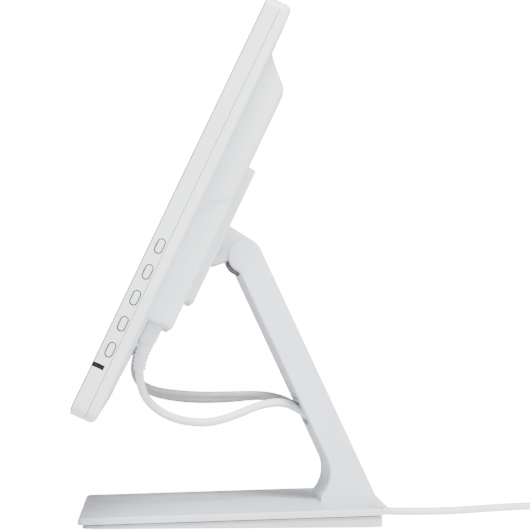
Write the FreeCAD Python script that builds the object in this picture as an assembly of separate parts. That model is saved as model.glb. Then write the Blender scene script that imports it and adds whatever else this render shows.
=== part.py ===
import FreeCAD, Part
import math
import os

# A pen display on a leaning one-arm stand.  Millimetres.
# +X is the user's right, +Y the back and +Z up, from the middle of the base's underside.
# Display pieces are drawn lying face up: x across, y up the screen from its bottom edge,
# z out of the glass.  They are then leaned back about their hinge.

# Display case
display_width = 516.0
display_height = 340.0
display_corner = 9.0
display_lean = 64.77            # degrees between the table and the screen at rest
glass_proud = 0.8               # black edge of the glass that stands out of the rim
bezel_depth = 12.1              # glass face to the parting line
parting_gap = 0.4
case_depth = 20.5               # glass face to the flat of the back
case_round = 5.0
crown_rise = 2.0
crown_inset = 12.0
crown_slope_run = 48.0
shell_wall = 2.5
fit_gap = 0.15                  # round any piece that drops into another
same_place = 1e-6               # points closer than this count as one
cut_beyond = 1.0                # how far a cutter runs past what it cuts
rim_round = 0.5
glass_chamfer = 0.3
lip_thickness = 1.2             # lip of the rear cover inside the bezel
lip_reach = 1.4
lip_window_side = 12.0          # the lip is left out behind the keys and the lamp
lip_window_below = 10.0
lip_window_above = 14.0
cover_screw_side = 215.0
cover_screw_edge = 14.0
post_wall = 1.6
post_bore_radius = 1.6
cover_shank_radius = 1.45

# Deep bulge on the back
bulge_depth = 43.0              # glass face to the bulge's back
bulge_bottom = 88.0
bulge_half_width = 160.0        # at its back
lower_flare = 6.0
upper_flare = 14.0
crease_low = 187.5              # where the upper part starts, at the case
crease_rise = 15.0
bulge_top = 299.0
bulge_top_run = 20.0
bulge_round = 6.0
bulge_bottom_round = 1.2
bulge_top_round = 9.0
bulge_overlap = 14.0            # the lower block runs this far inside the upper one
bulge_root = 2.0                # both start this far inside the case's back
vent_count = 15
vent_pitch = 17.0
vent_length = 9.0
vent_width = 2.4

# Screen stack
glass_thickness = 2.0
glass_inset = 2.6
ledge_width = 7.0
ledge_thickness = 2.0
panel_side_border = 13.0
panel_top_border = 23.0
panel_thickness = 6.4
panel_rise = 27.0
sensor_thickness = 1.0
chassis_thickness = 1.0
stack_gap = 0.2
chassis_post_gap = 0.8
sensor_inset = 2.0
chassis_side = 3.0              # the chassis stands past the panel, less on the keys' side
chassis_key_side = 4.0
chassis_below = 10.0
chassis_above = 6.0
chassis_hole_radius = 24.0
chassis_hole_places = ((-120.0, 120.0), (120.0, 120.0), (-120.0, 240.0), (120.0, 240.0))

# Boards: left, right, bottom and top, up from the bulge's bottom
main_board_sides = (-70.0, 96.0, 4.2, 96.0)
power_board_sides = (-148.0, -78.0, 20.0, 110.0)
board_behind_plugs = 4.5
main_chips = ((-20.0, 130.0, 22.0), (20.0, 136.0, 14.0), (48.0, 128.0, 10.0), (-52.0, 120.0, 12.0))
chip_height = 1.8
capacitor_places = ((-132.0, 130.0), (-132.0, 150.0), (-100.0, 176.0))
capacitor_radius = 6.0
capacitor_height = 9.0
transformer_sides = (-112.0, -90.0, 125.0, 150.0)
transformer_height = 8.0
socket_wall = 1.2
socket_length = 13.0
socket_mouth = 9.0

# Side keys and lamp
key_count = 5
key_pitch = 20.8
key_first = 54.3                # lowest key's middle, up from the bottom edge
key_depth = 7.9                 # behind the glass face
key_length = 10.2
key_width = 4.6
key_gap = 0.6
key_proud = 0.5
key_travel = 0.8
key_flange_length = 14.4
key_flange_thickness = 1.0
key_stem_radius = 1.2
key_stem_length = 1.2
key_crown_round = 0.45
key_seat_gap = 0.2
key_stem_gap = 1.4              # at rest the stem stands this far past the switch's stroke
key_board_end = 9.0
key_board_front = 2.9
key_board_back = 3.0
switch_size = 4.0
switch_height = 1.5
board_thickness = 1.6
lamp_rise = 40.2
lamp_width = 3.6
lamp_depth = 9.5

# Mount plate, neck and hinge
plate_side = 125.0
plate_thickness = 7.8
plate_rise = 179.2
plate_chamfer = 1.2
plate_corner = 4.0
plate_screw_spacing = 100.0
plate_screw_radius = 2.0
screw_head_radius = 3.6
screw_head_height = 2.2
head_recess = 0.3               # screw heads sit this far below their face
neck_screw_across = 16.0
neck_screw_up = 9.0
screw_bite = 6.0                # length of a screw in its thread
driver_radius = 1.7
driver_depth = 1.5
hinge_rise = 174.1
neck_length = 23.1
neck_top = 18.5
neck_bottom = 17.5
neck_front_y = 11.0             # the underside's bend, down and in from the hinge line
neck_front_z = 13.6
neck_foot_z = 20.2
bush_length = 18.0
barrel_half_length = 26.0
barrel_radius = 15.0
neck_wrap = 0.6
neck_core_depth = 1.8           # how far the barrel's core stands inside the neck
bush_radius = 7.0
shaft_radius = 5.0
running_gap = 0.05
washer_thickness = 1.05
washer_radius = 11.0
nut_flat = 15.0
nut_height = 4.1

# Stand
past_arm = 260.0                # longer than the arm
past_side = 60.0                # wider than the arm
past_back = 160.0               # behind the arm
hinge_y = 14.9
hinge_z = 225.5
arm_lean = 64.9
arm_width = 78.0
arm_wall = 2.5
arm_side_wall = 3.0
arm_front = 10.3                # hinge line to the arm's front face
ear_radius = 14.5               # the arm's back face is tangent to the ear
arm_edge_chamfer = 1.0
slot_below_hinge = 12.6
slot_reach = 30.0
swing_gap = 0.6
back_ledge = 5.0                # the arm's back opening stops this far from its sides
back_start = 3.0
frame_plate_thickness = 4.0
frame_plate_front = 7.0
frame_plate_rear = 5.0
frame_ear_radius = 11.5
frame_root_reach = 3.5
frame_root_height = 1.0
bite_start = 187.3              # down the arm, where the foot's curve begins
foot_front_y = 80.5
seam_z = 20.6
window_start = 127.0
window_length = 31.0
window_half_width = 28.0
window_corner = 5.0
grommet_lip = 1.6
grommet_proud = 0.6

# Base
base_width = 226.0
base_front_y = -124.2
base_rear_y = 124.1
base_corner = 4.5
base_front_z = 9.4
base_rear_z = 16.0
base_plate_thickness = 5.3
base_edge_chamfer = 1.7
plinth_window_front = 88.0
plinth_window_rear = 124.0
plinth_window_half = 33.0
hood_tip_y = 138.7
hood_tip_z = 9.2
hood_tip_thickness = 1.2
hood_under_run = 7.0
plinth_under_run = 3.0
tray_front_inset = 3.8
tray_side_inset = 2.4
tray_rear_inset = 1.0
tray_wall = 2.0
tray_floor = 1.5
tray_shadow_gap = 0.9
pad_thickness = 1.0
pad_inset = 7.0
weight_front_y = -30.0
weight_half_width = 94.0
weight_thickness = 3.0
flange_front_y = 92.0
flange_rear_y = 117.0
flange_width = 18.0
flange_thickness = 3.0
channel_half_width = 14.0
channel_front_y = 100.0
channel_height = 10.5
boss_radius = 4.2
boss_inset_x = 12.0
boss_inset_y = 16.0
boss_middle_row = 40.0
boss_thread_radius = 1.3
tray_hole_radius = 1.7
tray_head_radius = 3.2
base_head_radius = 3.0
base_shank_radius = 1.25
flange_screw_side = 6.0
flange_screw_end = 5.0
weight_head_depth = 1.7
weight_boss_gap = 0.5

# Leads
video_diameter = 7.2
lead_diameter = 6.2             # the two slimmer leads beside it
main_diameter = 6.6
plug_depth = 29.5               # behind the glass face
plug_gap = 0.2                  # between a plug's relief and its lead, across the hinge
yoke_length = 20.0
yoke_top_y = 96.6
yoke_top_z = 56.0
yoke_sections = ((0.0, 14.0, 5.2), (0.5, 13.0, 5.2), (1.0, 5.0, 4.6))  # share of length, half sizes
bend_share = 0.45               # of the shorter of two straights, used by the bend between them
plug_body_round = 2.5
tip_side_gap = 0.4
tip_face_gap = 1.0
tip_reach = 11.0
relief_start = 1.5
relief_overrun = 4.0
relief_side_gap = 1.0
relief_wide = 2.4
relief_narrow = 0.3
coil_centre_x = -87.0
coil_centre_y = 345.0
coil_inner_radius = 25.5
coil_outer_radius = 47.0
coil_height = 20.0
tie_width = 14.0
tie_thickness = 1.4
connector_offset = 29.0
connector_rise = 5.5
connector_half_width = 10.0
connector_half_height = 5.5
connector_round = 2.0
connector_tail = 24.0
connector_relief_length = 20.0
connector_relief_radii = (3.6, 5.2)
connector_body_start = 18.0
connector_body_end = 54.0
connector_shell_end = 66.0
connector_shell_half = (7.5, 2.6)
connector_shell_wall = 0.6
coil_edge_round = 3.0

panel_width = display_width - 2 * panel_side_border
panel_height = display_height - panel_rise - panel_top_border
neck_core_radius = barrel_radius - neck_core_depth
glass_clearance_depth = glass_thickness + fit_gap
bezel_inner_half = display_width / 2 - shell_wall
bulge_back = -bulge_depth
hinge_depth = bulge_depth + plate_thickness + neck_length
half_screen = display_width / 2
half_arm = arm_width / 2
half_base = base_width / 2
washer_start = barrel_half_length + fit_gap
frame_plate_start = washer_start + washer_thickness + 0.1
frame_plate_end = frame_plate_start + frame_plate_thickness
slot_half = barrel_half_length + 0.8
arm_angle = math.radians(arm_lean)
base_slope = (base_rear_z - base_front_z) / (base_rear_y - base_front_y)

Vector = FreeCAD.Vector
X_AXIS = Vector(1, 0, 0)


# ---------------------------------------------------------------- drawing helpers
def box(x_low, x_high, y_low, y_high, z_low, z_high):
    return Part.makeBox(x_high - x_low, y_high - y_low, z_high - z_low, Vector(x_low, y_low, z_low))


def rod(radius, start, end):
    return Part.makeCylinder(radius, (end - start).Length, start, end - start)


def rod_x(radius, x_low, x_high, y, z):
    return rod(radius, Vector(x_low, y, z), Vector(x_high, y, z))


def rod_z(radius, x, y, z_low, z_high):
    return rod(radius, Vector(x, y, z_low), Vector(x, y, z_high))


def edges_where(shape, test):
    return [edge for edge in shape.Edges if all(test(vertex.Point) for vertex in edge.Vertexes)]


def rounded_slab(x_low, x_high, y_low, y_high, z_low, z_high, corner):
    slab = box(x_low, x_high, y_low, y_high, z_low, z_high)
    upright = [edge for edge in slab.Edges if edge.Length > 0 and is_upright(edge)]
    return slab.makeFillet(corner, upright)


def is_upright(edge):
    low, high = (vertex.Point for vertex in edge.Vertexes)
    return abs(low.x - high.x) < same_place and abs(low.y - high.y) < same_place


def pill(length, width, x_low, x_high, y, z):
    # Rounded bar across X with its long side up the screen.
    half, radius = length / 2 - width / 2, width / 2
    middle = box(x_low, x_high, y - half, y + half, z - radius, z + radius)
    ends = [rod_x(radius, x_low, x_high, y + side * half, z) for side in (-1, 1)]
    return middle.fuse(ends).removeSplitter()


def prism(points, x_low, x_high):
    # Prism across X with the side outline given as (y, z) points.
    corners = [Vector(x_low, y, z) for y, z in points]
    face = Part.Face(Part.makePolygon([*corners, corners[0]]))
    return face.extrude(Vector(x_high - x_low, 0, 0))


def tapered_block(low, high):
    # Each end is (half width, y low, y high, z).
    wires = []
    for half, y_low, y_high, z in (low, high):
        corners = [Vector(-half, y_low, z), Vector(half, y_low, z),
                   Vector(half, y_high, z), Vector(-half, y_high, z)]
        wires.append(Part.makePolygon([*corners, corners[0]]))
    return Part.makeLoft(wires, True, True)


def leaned(shape):
    # Turns a display piece from its drawing position to its place on the stand.
    turn = FreeCAD.Rotation(X_AXIS, display_lean)
    hinge = turn.multVec(Vector(0, hinge_rise, -hinge_depth))
    moved = shape.copy()
    moved.Placement = FreeCAD.Placement(Vector(0, hinge_y, hinge_z) - hinge, turn).multiply(moved.Placement)
    return moved


def leaned_point(x, rise, depth):
    turn = FreeCAD.Rotation(X_AXIS, display_lean)
    return Vector(0, hinge_y, hinge_z) + turn.multVec(Vector(x, rise - hinge_rise, hinge_depth - depth))


# ---------------------------------------------------------------- display case
def front_bezel():
    shell = rounded_slab(-half_screen, half_screen, 0, display_height,
                         -bezel_depth, -glass_proud, display_corner)
    front_edges = edges_where(shell, lambda p: abs(p.z + glass_proud) < same_place)
    shell = shell.makeFillet(rim_round, front_edges)
    seat_inset = glass_inset - fit_gap
    seat = rounded_slab(-half_screen + seat_inset, half_screen - seat_inset, seat_inset,
                        display_height - seat_inset, -glass_clearance_depth, 0, display_corner - seat_inset)
    opening_inset = glass_inset + ledge_width
    ledge_back = -glass_clearance_depth - ledge_thickness
    opening = box(-half_screen + opening_inset, half_screen - opening_inset, opening_inset,
                  display_height - opening_inset, -bezel_depth, 0)
    hollow = rounded_slab(-half_screen + shell_wall, half_screen - shell_wall, shell_wall,
                          display_height - shell_wall, -bezel_depth - cut_beyond, ledge_back,
                          display_corner - shell_wall)
    shell = shell.cut([seat, opening, hollow])
    for rise in key_rises():
        shell = shell.cut(pill(key_length + 2 * key_gap, key_width + 2 * key_gap,
                               bezel_inner_half - cut_beyond, half_screen + cut_beyond, rise, -key_depth))
    lamp_slot = box(bezel_inner_half - cut_beyond, half_screen + cut_beyond, lamp_rise - lamp_width / 2,
                    lamp_rise + lamp_width / 2, -lamp_depth, 0)
    return shell.cut(lamp_slot)


def key_rises():
    return [key_first + step * key_pitch for step in range(key_count)]


def front_glass():
    glass = rounded_slab(-half_screen + glass_inset, half_screen - glass_inset, glass_inset,
                         display_height - glass_inset, -glass_thickness, 0, display_corner - glass_inset)
    return glass.makeChamfer(glass_chamfer, edges_where(glass, lambda p: abs(p.z) < same_place))


def case_back(inset):
    # Outside of the rear cover, or the hollow inside it where inset is the wall.
    top = -bezel_depth - parting_gap if inset == 0 else -bezel_depth + cut_beyond
    back = -case_depth + inset
    slab = rounded_slab(-half_screen + inset, half_screen - inset, inset, display_height - inset, back, top,
                        display_corner - inset)
    slab = slab.makeFillet(case_round - inset, edges_where(slab, lambda p: abs(p.z - back) < same_place))
    return slab.fuse([lower_bulge(inset), upper_bulge(inset)])


def lower_bulge(inset):
    back = bulge_back + inset
    front = -case_depth + bulge_root + inset
    half = bulge_half_width - inset
    bottom = bulge_bottom + inset
    top = crease_low + bulge_overlap
    block = tapered_block((half + lower_flare, bottom, top, front), (half, bottom, top, back))
    sides = [edge for edge in edges_where(block, lambda p: abs(p.z - back) < same_place) if runs_up(edge)]
    block = block.makeFillet(bulge_round - inset, sides)
    if inset:
        return block
    rim = [edge for edge in block.Edges if is_bottom_rim(edge, bottom, front)]
    return block.makeFillet(bulge_bottom_round, rim)


def runs_up(edge):
    low, high = (vertex.Point for vertex in edge.Vertexes)
    return abs(low.y - high.y) > 1


def is_bottom_rim(edge, y, front):
    # The bottom face's edges, except the one inside the case.
    points = [vertex.Point for vertex in edge.Vertexes]
    inside_case = all(abs(p.z - front) < same_place for p in points)
    return all(abs(p.y - y) < same_place for p in points) and not inside_case


def upper_bulge(inset):
    back = bulge_back + inset
    half = bulge_half_width - inset
    front = -case_depth + bulge_root + inset
    low = (half + upper_flare, crease_low + inset, bulge_top + bulge_top_run - inset, front)
    high = (half, crease_low + crease_rise + inset, bulge_top - inset, back)
    block = tapered_block(low, high)
    rim = [edge for edge in block.Edges if is_upper_rim(edge, high[2], front, back)]
    return block.makeFillet(bulge_top_round - inset, rim)


def is_upper_rim(edge, top_y, front, back):
    # The back face's top and side edges, and the two slanting edges at the top corners.
    points = [vertex.Point for vertex in edge.Vertexes]
    if all(abs(p.z - front) < same_place for p in points):
        return False
    if all(abs(p.z - back) < same_place for p in points):
        return max(p.y for p in points) > top_y - same_place
    return min(p.y for p in points) > top_y - same_place


def rear_cover():
    cover = case_back(0).fuse(crown()).cut(case_back(shell_wall))
    lip_outer = shell_wall + fit_gap
    lip_inner = lip_outer + lip_thickness
    seam = -bezel_depth - parting_gap
    lip = ring_slab(lip_outer, lip_inner, seam - 1, -bezel_depth + lip_reach)
    lip = lip.fuse(ring_slab(shell_wall - 0.5, lip_inner, seam - 2, seam))
    lip = lip.cut(box(half_screen - lip_window_side, half_screen, lamp_rise - lip_window_below,
                      key_rises()[-1] + lip_window_above, -case_depth, 0))
    cover = cover.fuse(lip)
    for column in range(vent_count):
        across = (column - (vent_count - 1) / 2) * vent_pitch
        cover = cover.cut(vent_slot(across))
    for across, width, height in socket_sizes():
        hole = box(across - width / 2 - fit_gap, across + width / 2 + fit_gap,
                   bulge_bottom - cut_beyond, bulge_bottom + shell_wall + cut_beyond,
                   -plug_depth - height / 2 - fit_gap, -plug_depth + height / 2 + fit_gap)
        cover = cover.cut(hole)
    for across, rise in plate_screw_places():
        cover = cover.cut(rod_z(plate_screw_radius + fit_gap, across, rise,
                                bulge_back - cut_beyond, bulge_back + shell_wall + cut_beyond))
    for across, rise in cover_screw_places():
        cover = cover.cut(rod_z(screw_head_radius + fit_gap, across, rise,
                                -case_depth - crown_rise - cut_beyond, -case_depth + 1))
        post = rod_z(screw_head_radius + post_wall, across, rise, -case_depth + 1, chassis_back() - fit_gap)
        cover = cover.fuse(post).cut(rod_z(post_bore_radius, across, rise,
                                           -case_depth - cut_beyond, chassis_back() + cut_beyond))
    return cover


def crown():
    # Slight swell of the back's flat.
    far_inset = crown_inset + crown_slope_run
    return tapered_block(
        (half_screen - crown_inset, crown_inset, display_height - crown_inset, -case_depth + 0.5),
        (half_screen - far_inset, far_inset, display_height - far_inset, -case_depth - crown_rise))


def ring_slab(outer_inset, inner_inset, z_low, z_high):
    outer, inner = (
        rounded_slab(-half_screen + inset, half_screen - inset, inset, display_height - inset, z_low - grow,
                     z_high + grow, display_corner - inset)
        for inset, grow in ((outer_inset, 0), (inner_inset, 1)))
    return outer.cut(inner)


def vent_slot(across):
    # Slot through the bulge's top slope.
    low = bulge_top + bulge_top_run / 2 - vent_length / 2
    return box(across - vent_width / 2, across + vent_width / 2, low, low + vent_length,
               -bulge_depth + 1, -case_depth - crown_rise - 2)


def cover_screw_places():
    rows = (cover_screw_edge, display_height - cover_screw_edge)
    columns = (-cover_screw_side, 0.0, cover_screw_side)
    return [(across, rise) for rise in rows for across in columns]


def chassis_back():
    layers = ledge_thickness + panel_thickness + sensor_thickness + chassis_thickness
    return -(glass_clearance_depth + layers + chassis_post_gap)


def screen_stack():
    front = -glass_clearance_depth - ledge_thickness - stack_gap
    back = front - panel_thickness
    half = panel_width / 2
    top = panel_rise + panel_height
    panel = box(-half, half, panel_rise, top, back, front)
    sensor = box(-half + sensor_inset, half - sensor_inset, panel_rise + sensor_inset, top - sensor_inset,
                 back - stack_gap - sensor_thickness, back - stack_gap)
    chassis_front = chassis_back() + chassis_thickness
    chassis = box(-half - chassis_side, half - chassis_key_side, panel_rise - chassis_below,
                  top + chassis_above, chassis_back(), chassis_front)
    for across, rise in chassis_hole_places:
        chassis = chassis.cut(rod_z(chassis_hole_radius, across, rise,
                                    chassis_back() - cut_beyond, chassis_front + cut_beyond))
    return panel, sensor, chassis


def bare_board(sides):
    front = -plug_depth - board_behind_plugs
    left, right, low, high = sides
    return box(left, right, bulge_bottom + low, bulge_bottom + high, front - board_thickness, front)


def main_board():
    front = -plug_depth - board_behind_plugs
    chips = [box(x, x + size, y, y + size, front, front + chip_height) for x, y, size in main_chips]
    return bare_board(main_board_sides).fuse(chips)


def power_board():
    front = -plug_depth - board_behind_plugs
    parts = [rod_z(capacitor_radius, x, y, front, front + capacitor_height) for x, y in capacitor_places]
    parts.append(box(*transformer_sides, front, front + transformer_height))
    return bare_board(power_board_sides).fuse(parts)


def socket_sizes():
    # Middle across X, width and height of each socket and of its plug's tip.
    return [(45.0, 15.0, 6.0), (5.0, 12.0, 5.6), (-22.0, 9.0, 9.0)]


def socket(across, width, height):
    start = bulge_bottom + shell_wall + 0.6
    body = box(across - width / 2 - socket_wall, across + width / 2 + socket_wall,
               start, start + socket_length,
               -plug_depth - board_behind_plugs, -plug_depth + height / 2 + socket_wall)
    mouth = box(across - width / 2, across + width / 2, start - cut_beyond, start + socket_mouth,
                -plug_depth - height / 2 + 0.6, -plug_depth + height / 2)
    return body.cut(mouth)


def key_board():
    key_back = bezel_inner_half - key_flange_thickness - key_seat_gap
    face = key_back - key_travel - key_stem_gap - switch_height
    low = key_rises()[0] - key_board_end
    high = key_rises()[-1] + key_board_end
    board = box(face - board_thickness, face, low, high,
                -key_depth - key_board_back, -key_depth + key_board_front)
    switches = [box(face, face + switch_height, rise - switch_size / 2, rise + switch_size / 2,
                    -key_depth - switch_size / 2, -key_depth + switch_size / 2) for rise in key_rises()]
    return board, Part.makeCompound(switches)


def side_key(rise):
    flange_end = bezel_inner_half - key_seat_gap
    flange_start = flange_end - key_flange_thickness
    head = pill(key_length, key_width, flange_start, half_screen + key_proud, rise, -key_depth)
    crown_edges = edges_where(head, lambda p: abs(p.x - half_screen - key_proud) < same_place)
    head = head.makeFillet(key_crown_round, crown_edges)
    flange = box(flange_start, flange_end, rise - key_flange_length / 2, rise + key_flange_length / 2,
                 -key_depth - key_width / 2, -key_depth + key_width / 2)
    stem = rod_x(key_stem_radius, flange_start - key_stem_length, flange_end, rise, -key_depth)
    return head.fuse([flange, stem])


def lamp_window():
    half = lamp_width / 2 - 0.05
    return box(bezel_inner_half + 0.1, half_screen + 0.1, lamp_rise - half, lamp_rise + half,
               -lamp_depth + 0.05, -glass_proud)


# ---------------------------------------------------------------- plate, neck and hinge
def plate_screw_places():
    half = plate_screw_spacing / 2
    return [(across, plate_rise + up) for across in (-half, half) for up in (-half, half)]


def mount_plate():
    half = plate_side / 2
    back = bulge_back - plate_thickness
    plate = rounded_slab(-half, half, plate_rise - half, plate_rise + half, back, bulge_back,
                         plate_corner)
    plate = plate.makeChamfer(plate_chamfer, edges_where(plate, lambda p: abs(p.z - back) < same_place))
    for across, rise in plate_screw_places():
        head = rod_z(screw_head_radius + fit_gap, across, rise,
                     back - cut_beyond, back + screw_head_height + head_recess)
        hole = rod_z(plate_screw_radius + fit_gap, across, rise, back - cut_beyond, bulge_back + cut_beyond)
        plate = plate.cut([head, hole])
    for across, rise in neck_screw_places():
        hole = rod_z(plate_screw_radius + fit_gap, across, rise, back - cut_beyond, bulge_back + cut_beyond)
        head = rod_z(screw_head_radius + fit_gap, across, rise,
                     bulge_back - screw_head_height - head_recess, bulge_back + cut_beyond)
        plate = plate.cut([hole, head])
    return plate


def neck_screw_places():
    return [(across, hinge_rise + up) for across in (-neck_screw_across, neck_screw_across)
            for up in (-neck_screw_up, neck_screw_up)]


def screw_z(across, rise, head_low, head_high, tip):
    # Machine screw along the display's depth; the tip may lie either side of its head.
    head = rod_z(screw_head_radius, across, rise, head_low, head_high)
    low, high = sorted((tip, (head_low + head_high) / 2))
    return head.fuse(rod_z(plate_screw_radius, across, rise, low, high))


def plate_screws():
    back = bulge_back - plate_thickness
    screws = []
    for across, rise in plate_screw_places():
        head_start = back + head_recess
        screw = screw_z(across, rise, head_start, head_start + screw_head_height, bulge_back + screw_bite)
        recess = rod_z(driver_radius, across, rise, back, back + driver_depth)
        screws.append(screw.cut(recess))
    return Part.makeCompound(screws)


def neck_screws():
    return Part.makeCompound([
        screw_z(across, rise, bulge_back - 0.2 - screw_head_height, bulge_back - 0.2,
                bulge_back - plate_thickness - screw_bite) for across, rise in neck_screw_places()])


def cover_screws():
    screws = []
    for across, rise in cover_screw_places():
        head_back = -case_depth + 1
        shank = rod_z(cover_shank_radius, across, rise, head_back - 0.5, chassis_back() + chassis_thickness)
        head = rod_z(screw_head_radius, across, rise, head_back - 1.4, head_back - fit_gap)
        screws.append(head.cut(rod_z(1.2, across, rise, head_back - 2, head_back - 0.7)).fuse(shank))
    return Part.makeCompound(screws)


def neck():
    y, z = hinge_rise, -hinge_depth
    plate_z = bulge_back - plate_thickness
    half = barrel_half_length
    outer = barrel_radius + neck_wrap
    points = [(y + neck_top, plate_z), (y + outer, z - 1), (y, z), (y - neck_front_y, z + neck_front_z),
              (y - neck_bottom, z + neck_foot_z), (y - neck_bottom, plate_z)]
    wrap = rod_x(outer, -half, half, y, z).common(box(-half, half, y + 2, y + 40, z - 9, plate_z))
    body = prism(points, -half, half).fuse(wrap)
    body = body.cut(rod_x(neck_core_radius, -half - cut_beyond, half + cut_beyond, y, z))
    for across, rise in neck_screw_places():
        body = body.cut(rod_z(plate_screw_radius, across, rise, plate_z - screw_bite, plate_z + cut_beyond))
    return body


def barrel():
    y, z = hinge_rise, -hinge_depth
    core = rod_x(barrel_radius, -barrel_half_length, barrel_half_length, y, z)
    reach = barrel_half_length + cut_beyond
    return core.cut([neck(), rod_x(bush_radius, -reach, reach, y, z)])


def bushes():
    y, z = hinge_rise, -hinge_depth
    half = barrel_half_length
    made = []
    for start, end in ((-half, -half + bush_length), (half - bush_length, half)):
        tube = rod_x(bush_radius, start, end, y, z)
        made.append(tube.cut(rod_x(shaft_radius + running_gap, start - cut_beyond, end + cut_beyond, y, z)))
    return Part.makeCompound(made)


def hinge_shaft():
    end = frame_plate_end + nut_height
    return rod_x(shaft_radius, -end, end, hinge_y, hinge_z)


def mirrored_pair(shape):
    return Part.makeCompound([shape, shape.mirror(Vector(0, 0, 0), X_AXIS)])


def friction_washers():
    disc = rod_x(washer_radius, washer_start, washer_start + washer_thickness, hinge_y, hinge_z)
    hole = rod_x(shaft_radius + running_gap, washer_start - 1, washer_start + 3, hinge_y, hinge_z)
    return mirrored_pair(disc.cut(hole))


def hinge_nuts():
    start = frame_plate_end + 0.05
    corner = nut_flat / math.sqrt(3)
    turns = [math.radians(60 * step) for step in range(6)]
    outline = [(hinge_y + corner * math.cos(turn), hinge_z + corner * math.sin(turn)) for turn in turns]
    nut = prism(outline, start, start + nut_height - 0.1)
    return mirrored_pair(nut.cut(rod_x(shaft_radius + running_gap, start - 1, start + 9, hinge_y, hinge_z)))


# ---------------------------------------------------------------- arm
def arm_point(along, across):
    # along runs down the arm from the hinge, across from its middle towards its back.
    y = hinge_y + along * math.cos(arm_angle) + across * math.sin(arm_angle)
    z = hinge_z - along * math.sin(arm_angle) + across * math.cos(arm_angle)
    return y, z


def arm_prism(low_along, high_along, low_across, high_across, half):
    corners = [arm_point(low_along, low_across), arm_point(high_along, low_across),
               arm_point(high_along, high_across), arm_point(low_along, high_across)]
    return prism(corners, -half, half)


def bite_circle():
    # The foot's front curve is tangent to the arm's front face and ends at the seam.
    start_y, start_z = arm_point(bite_start, -arm_front)
    chord = (foot_front_y - start_y, seam_z - start_z)
    towards_front = (-math.sin(arm_angle), -math.cos(arm_angle))
    reach = chord[0] * towards_front[0] + chord[1] * towards_front[1]
    radius = (chord[0] ** 2 + chord[1] ** 2) / (2 * reach)
    return start_y + radius * towards_front[0], start_z + radius * towards_front[1], radius


def arm_outline(inset, half):
    ear = ear_radius - inset
    front = arm_front - inset
    centre_y, centre_z, bite = bite_circle()
    bite += inset
    ear_rear = arm_point(0, ear)
    ear_top = arm_point(-ear, 0)
    ear_front = arm_point(math.sqrt(ear ** 2 - front ** 2), -front)
    rear_along = (hinge_z + ear * math.cos(arm_angle) - seam_z) / math.sin(arm_angle)
    rear_foot = arm_point(rear_along, ear)
    bite_start_angle = math.pi / 2 - arm_angle
    bite_end_angle = math.asin((seam_z - centre_z) / bite)
    bite_points = [(centre_y + bite * math.cos(turn), centre_z + bite * math.sin(turn))
                   for turn in (bite_start_angle, (bite_start_angle + bite_end_angle) / 2, bite_end_angle)]
    at = lambda point: Vector(-half, *point)
    edges = [Part.Arc(at(ear_front), at(ear_top), at(ear_rear)).toShape(),
             Part.LineSegment(at(ear_rear), at(rear_foot)).toShape(),
             Part.LineSegment(at(rear_foot), at(bite_points[2])).toShape(),
             Part.Arc(at(bite_points[2]), at(bite_points[1]), at(bite_points[0])).toShape(),
             Part.LineSegment(at(bite_points[0]), at(ear_front)).toShape()]
    return Part.Face(Part.Wire(edges)).extrude(Vector(2 * half, 0, 0))


def rear_opening(half, start, across):
    return arm_prism(start, past_arm, across, ear_radius + cut_beyond, half)


def window_block(half, grow, low_across, high_across):
    # Rounded block through the arm's front wall, where the leads go in.
    low, high = window_start - grow, window_start + window_length + grow
    block = Part.makeBox(2 * half, high - low, high_across - low_across, Vector(-half, low, low_across))
    upright = [edge for edge in block.Edges if is_upright(edge)]
    block = block.makeFillet(window_corner + grow, upright)
    origin = arm_point(0, 0)
    # Drawn with y down the arm and z towards its back, then turned into place.
    turn = FreeCAD.Rotation(X_AXIS, -arm_lean)
    block.Placement = FreeCAD.Placement(Vector(0, *origin), turn)
    return block


def arm_shell():
    solid = arm_outline(0, half_arm)
    sharp = [edge for edge in solid.Edges if is_side_edge(edge)]
    solid = solid.makeChamfer(arm_edge_chamfer, sharp)
    hollow = arm_outline(arm_wall, half_arm - arm_side_wall)
    slot = arm_prism(-slot_reach, slot_below_hinge, -slot_reach, slot_reach, slot_half)
    swing = rod_x(barrel_radius + neck_wrap + swing_gap, -slot_half, slot_half, hinge_y, hinge_z)
    back = rear_opening(half_arm - back_ledge, slot_below_hinge + back_start,
                        ear_radius - arm_wall - cut_beyond)
    window = window_block(window_half_width, 0, -arm_front - 2, -arm_front + arm_wall + 2)
    below = box(-past_side, past_side, past_side, past_back, -past_side, seam_z)
    return solid.cut([hollow, slot, swing, back, window, below])


def is_side_edge(edge):
    points = [vertex.Point for vertex in edge.Vertexes]
    on_side = all(abs(abs(p.x) - half_arm) < same_place for p in points)
    one_side = abs(points[0].x - points[-1].x) < same_place
    return on_side and one_side and not all(abs(p.z - seam_z) < same_place for p in points)


def arm_rear_cover():
    slab = arm_prism(slot_below_hinge + back_start + fit_gap, past_arm, ear_radius - arm_wall,
                     ear_radius - 0.1, half_arm - back_ledge - fit_gap)
    return slab.cut(box(-past_side, past_side, past_side, past_back, -past_side, seam_z + 0.05))


def lead_grommet():
    outside = window_block(window_half_width - fit_gap, -fit_gap,
                           -arm_front - grommet_proud, -arm_front + arm_wall + 0.2)
    inside = window_block(window_half_width - grommet_lip, -grommet_lip,
                          -arm_front - 3, -arm_front + arm_wall + 3)
    return outside.cut(inside)


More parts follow.
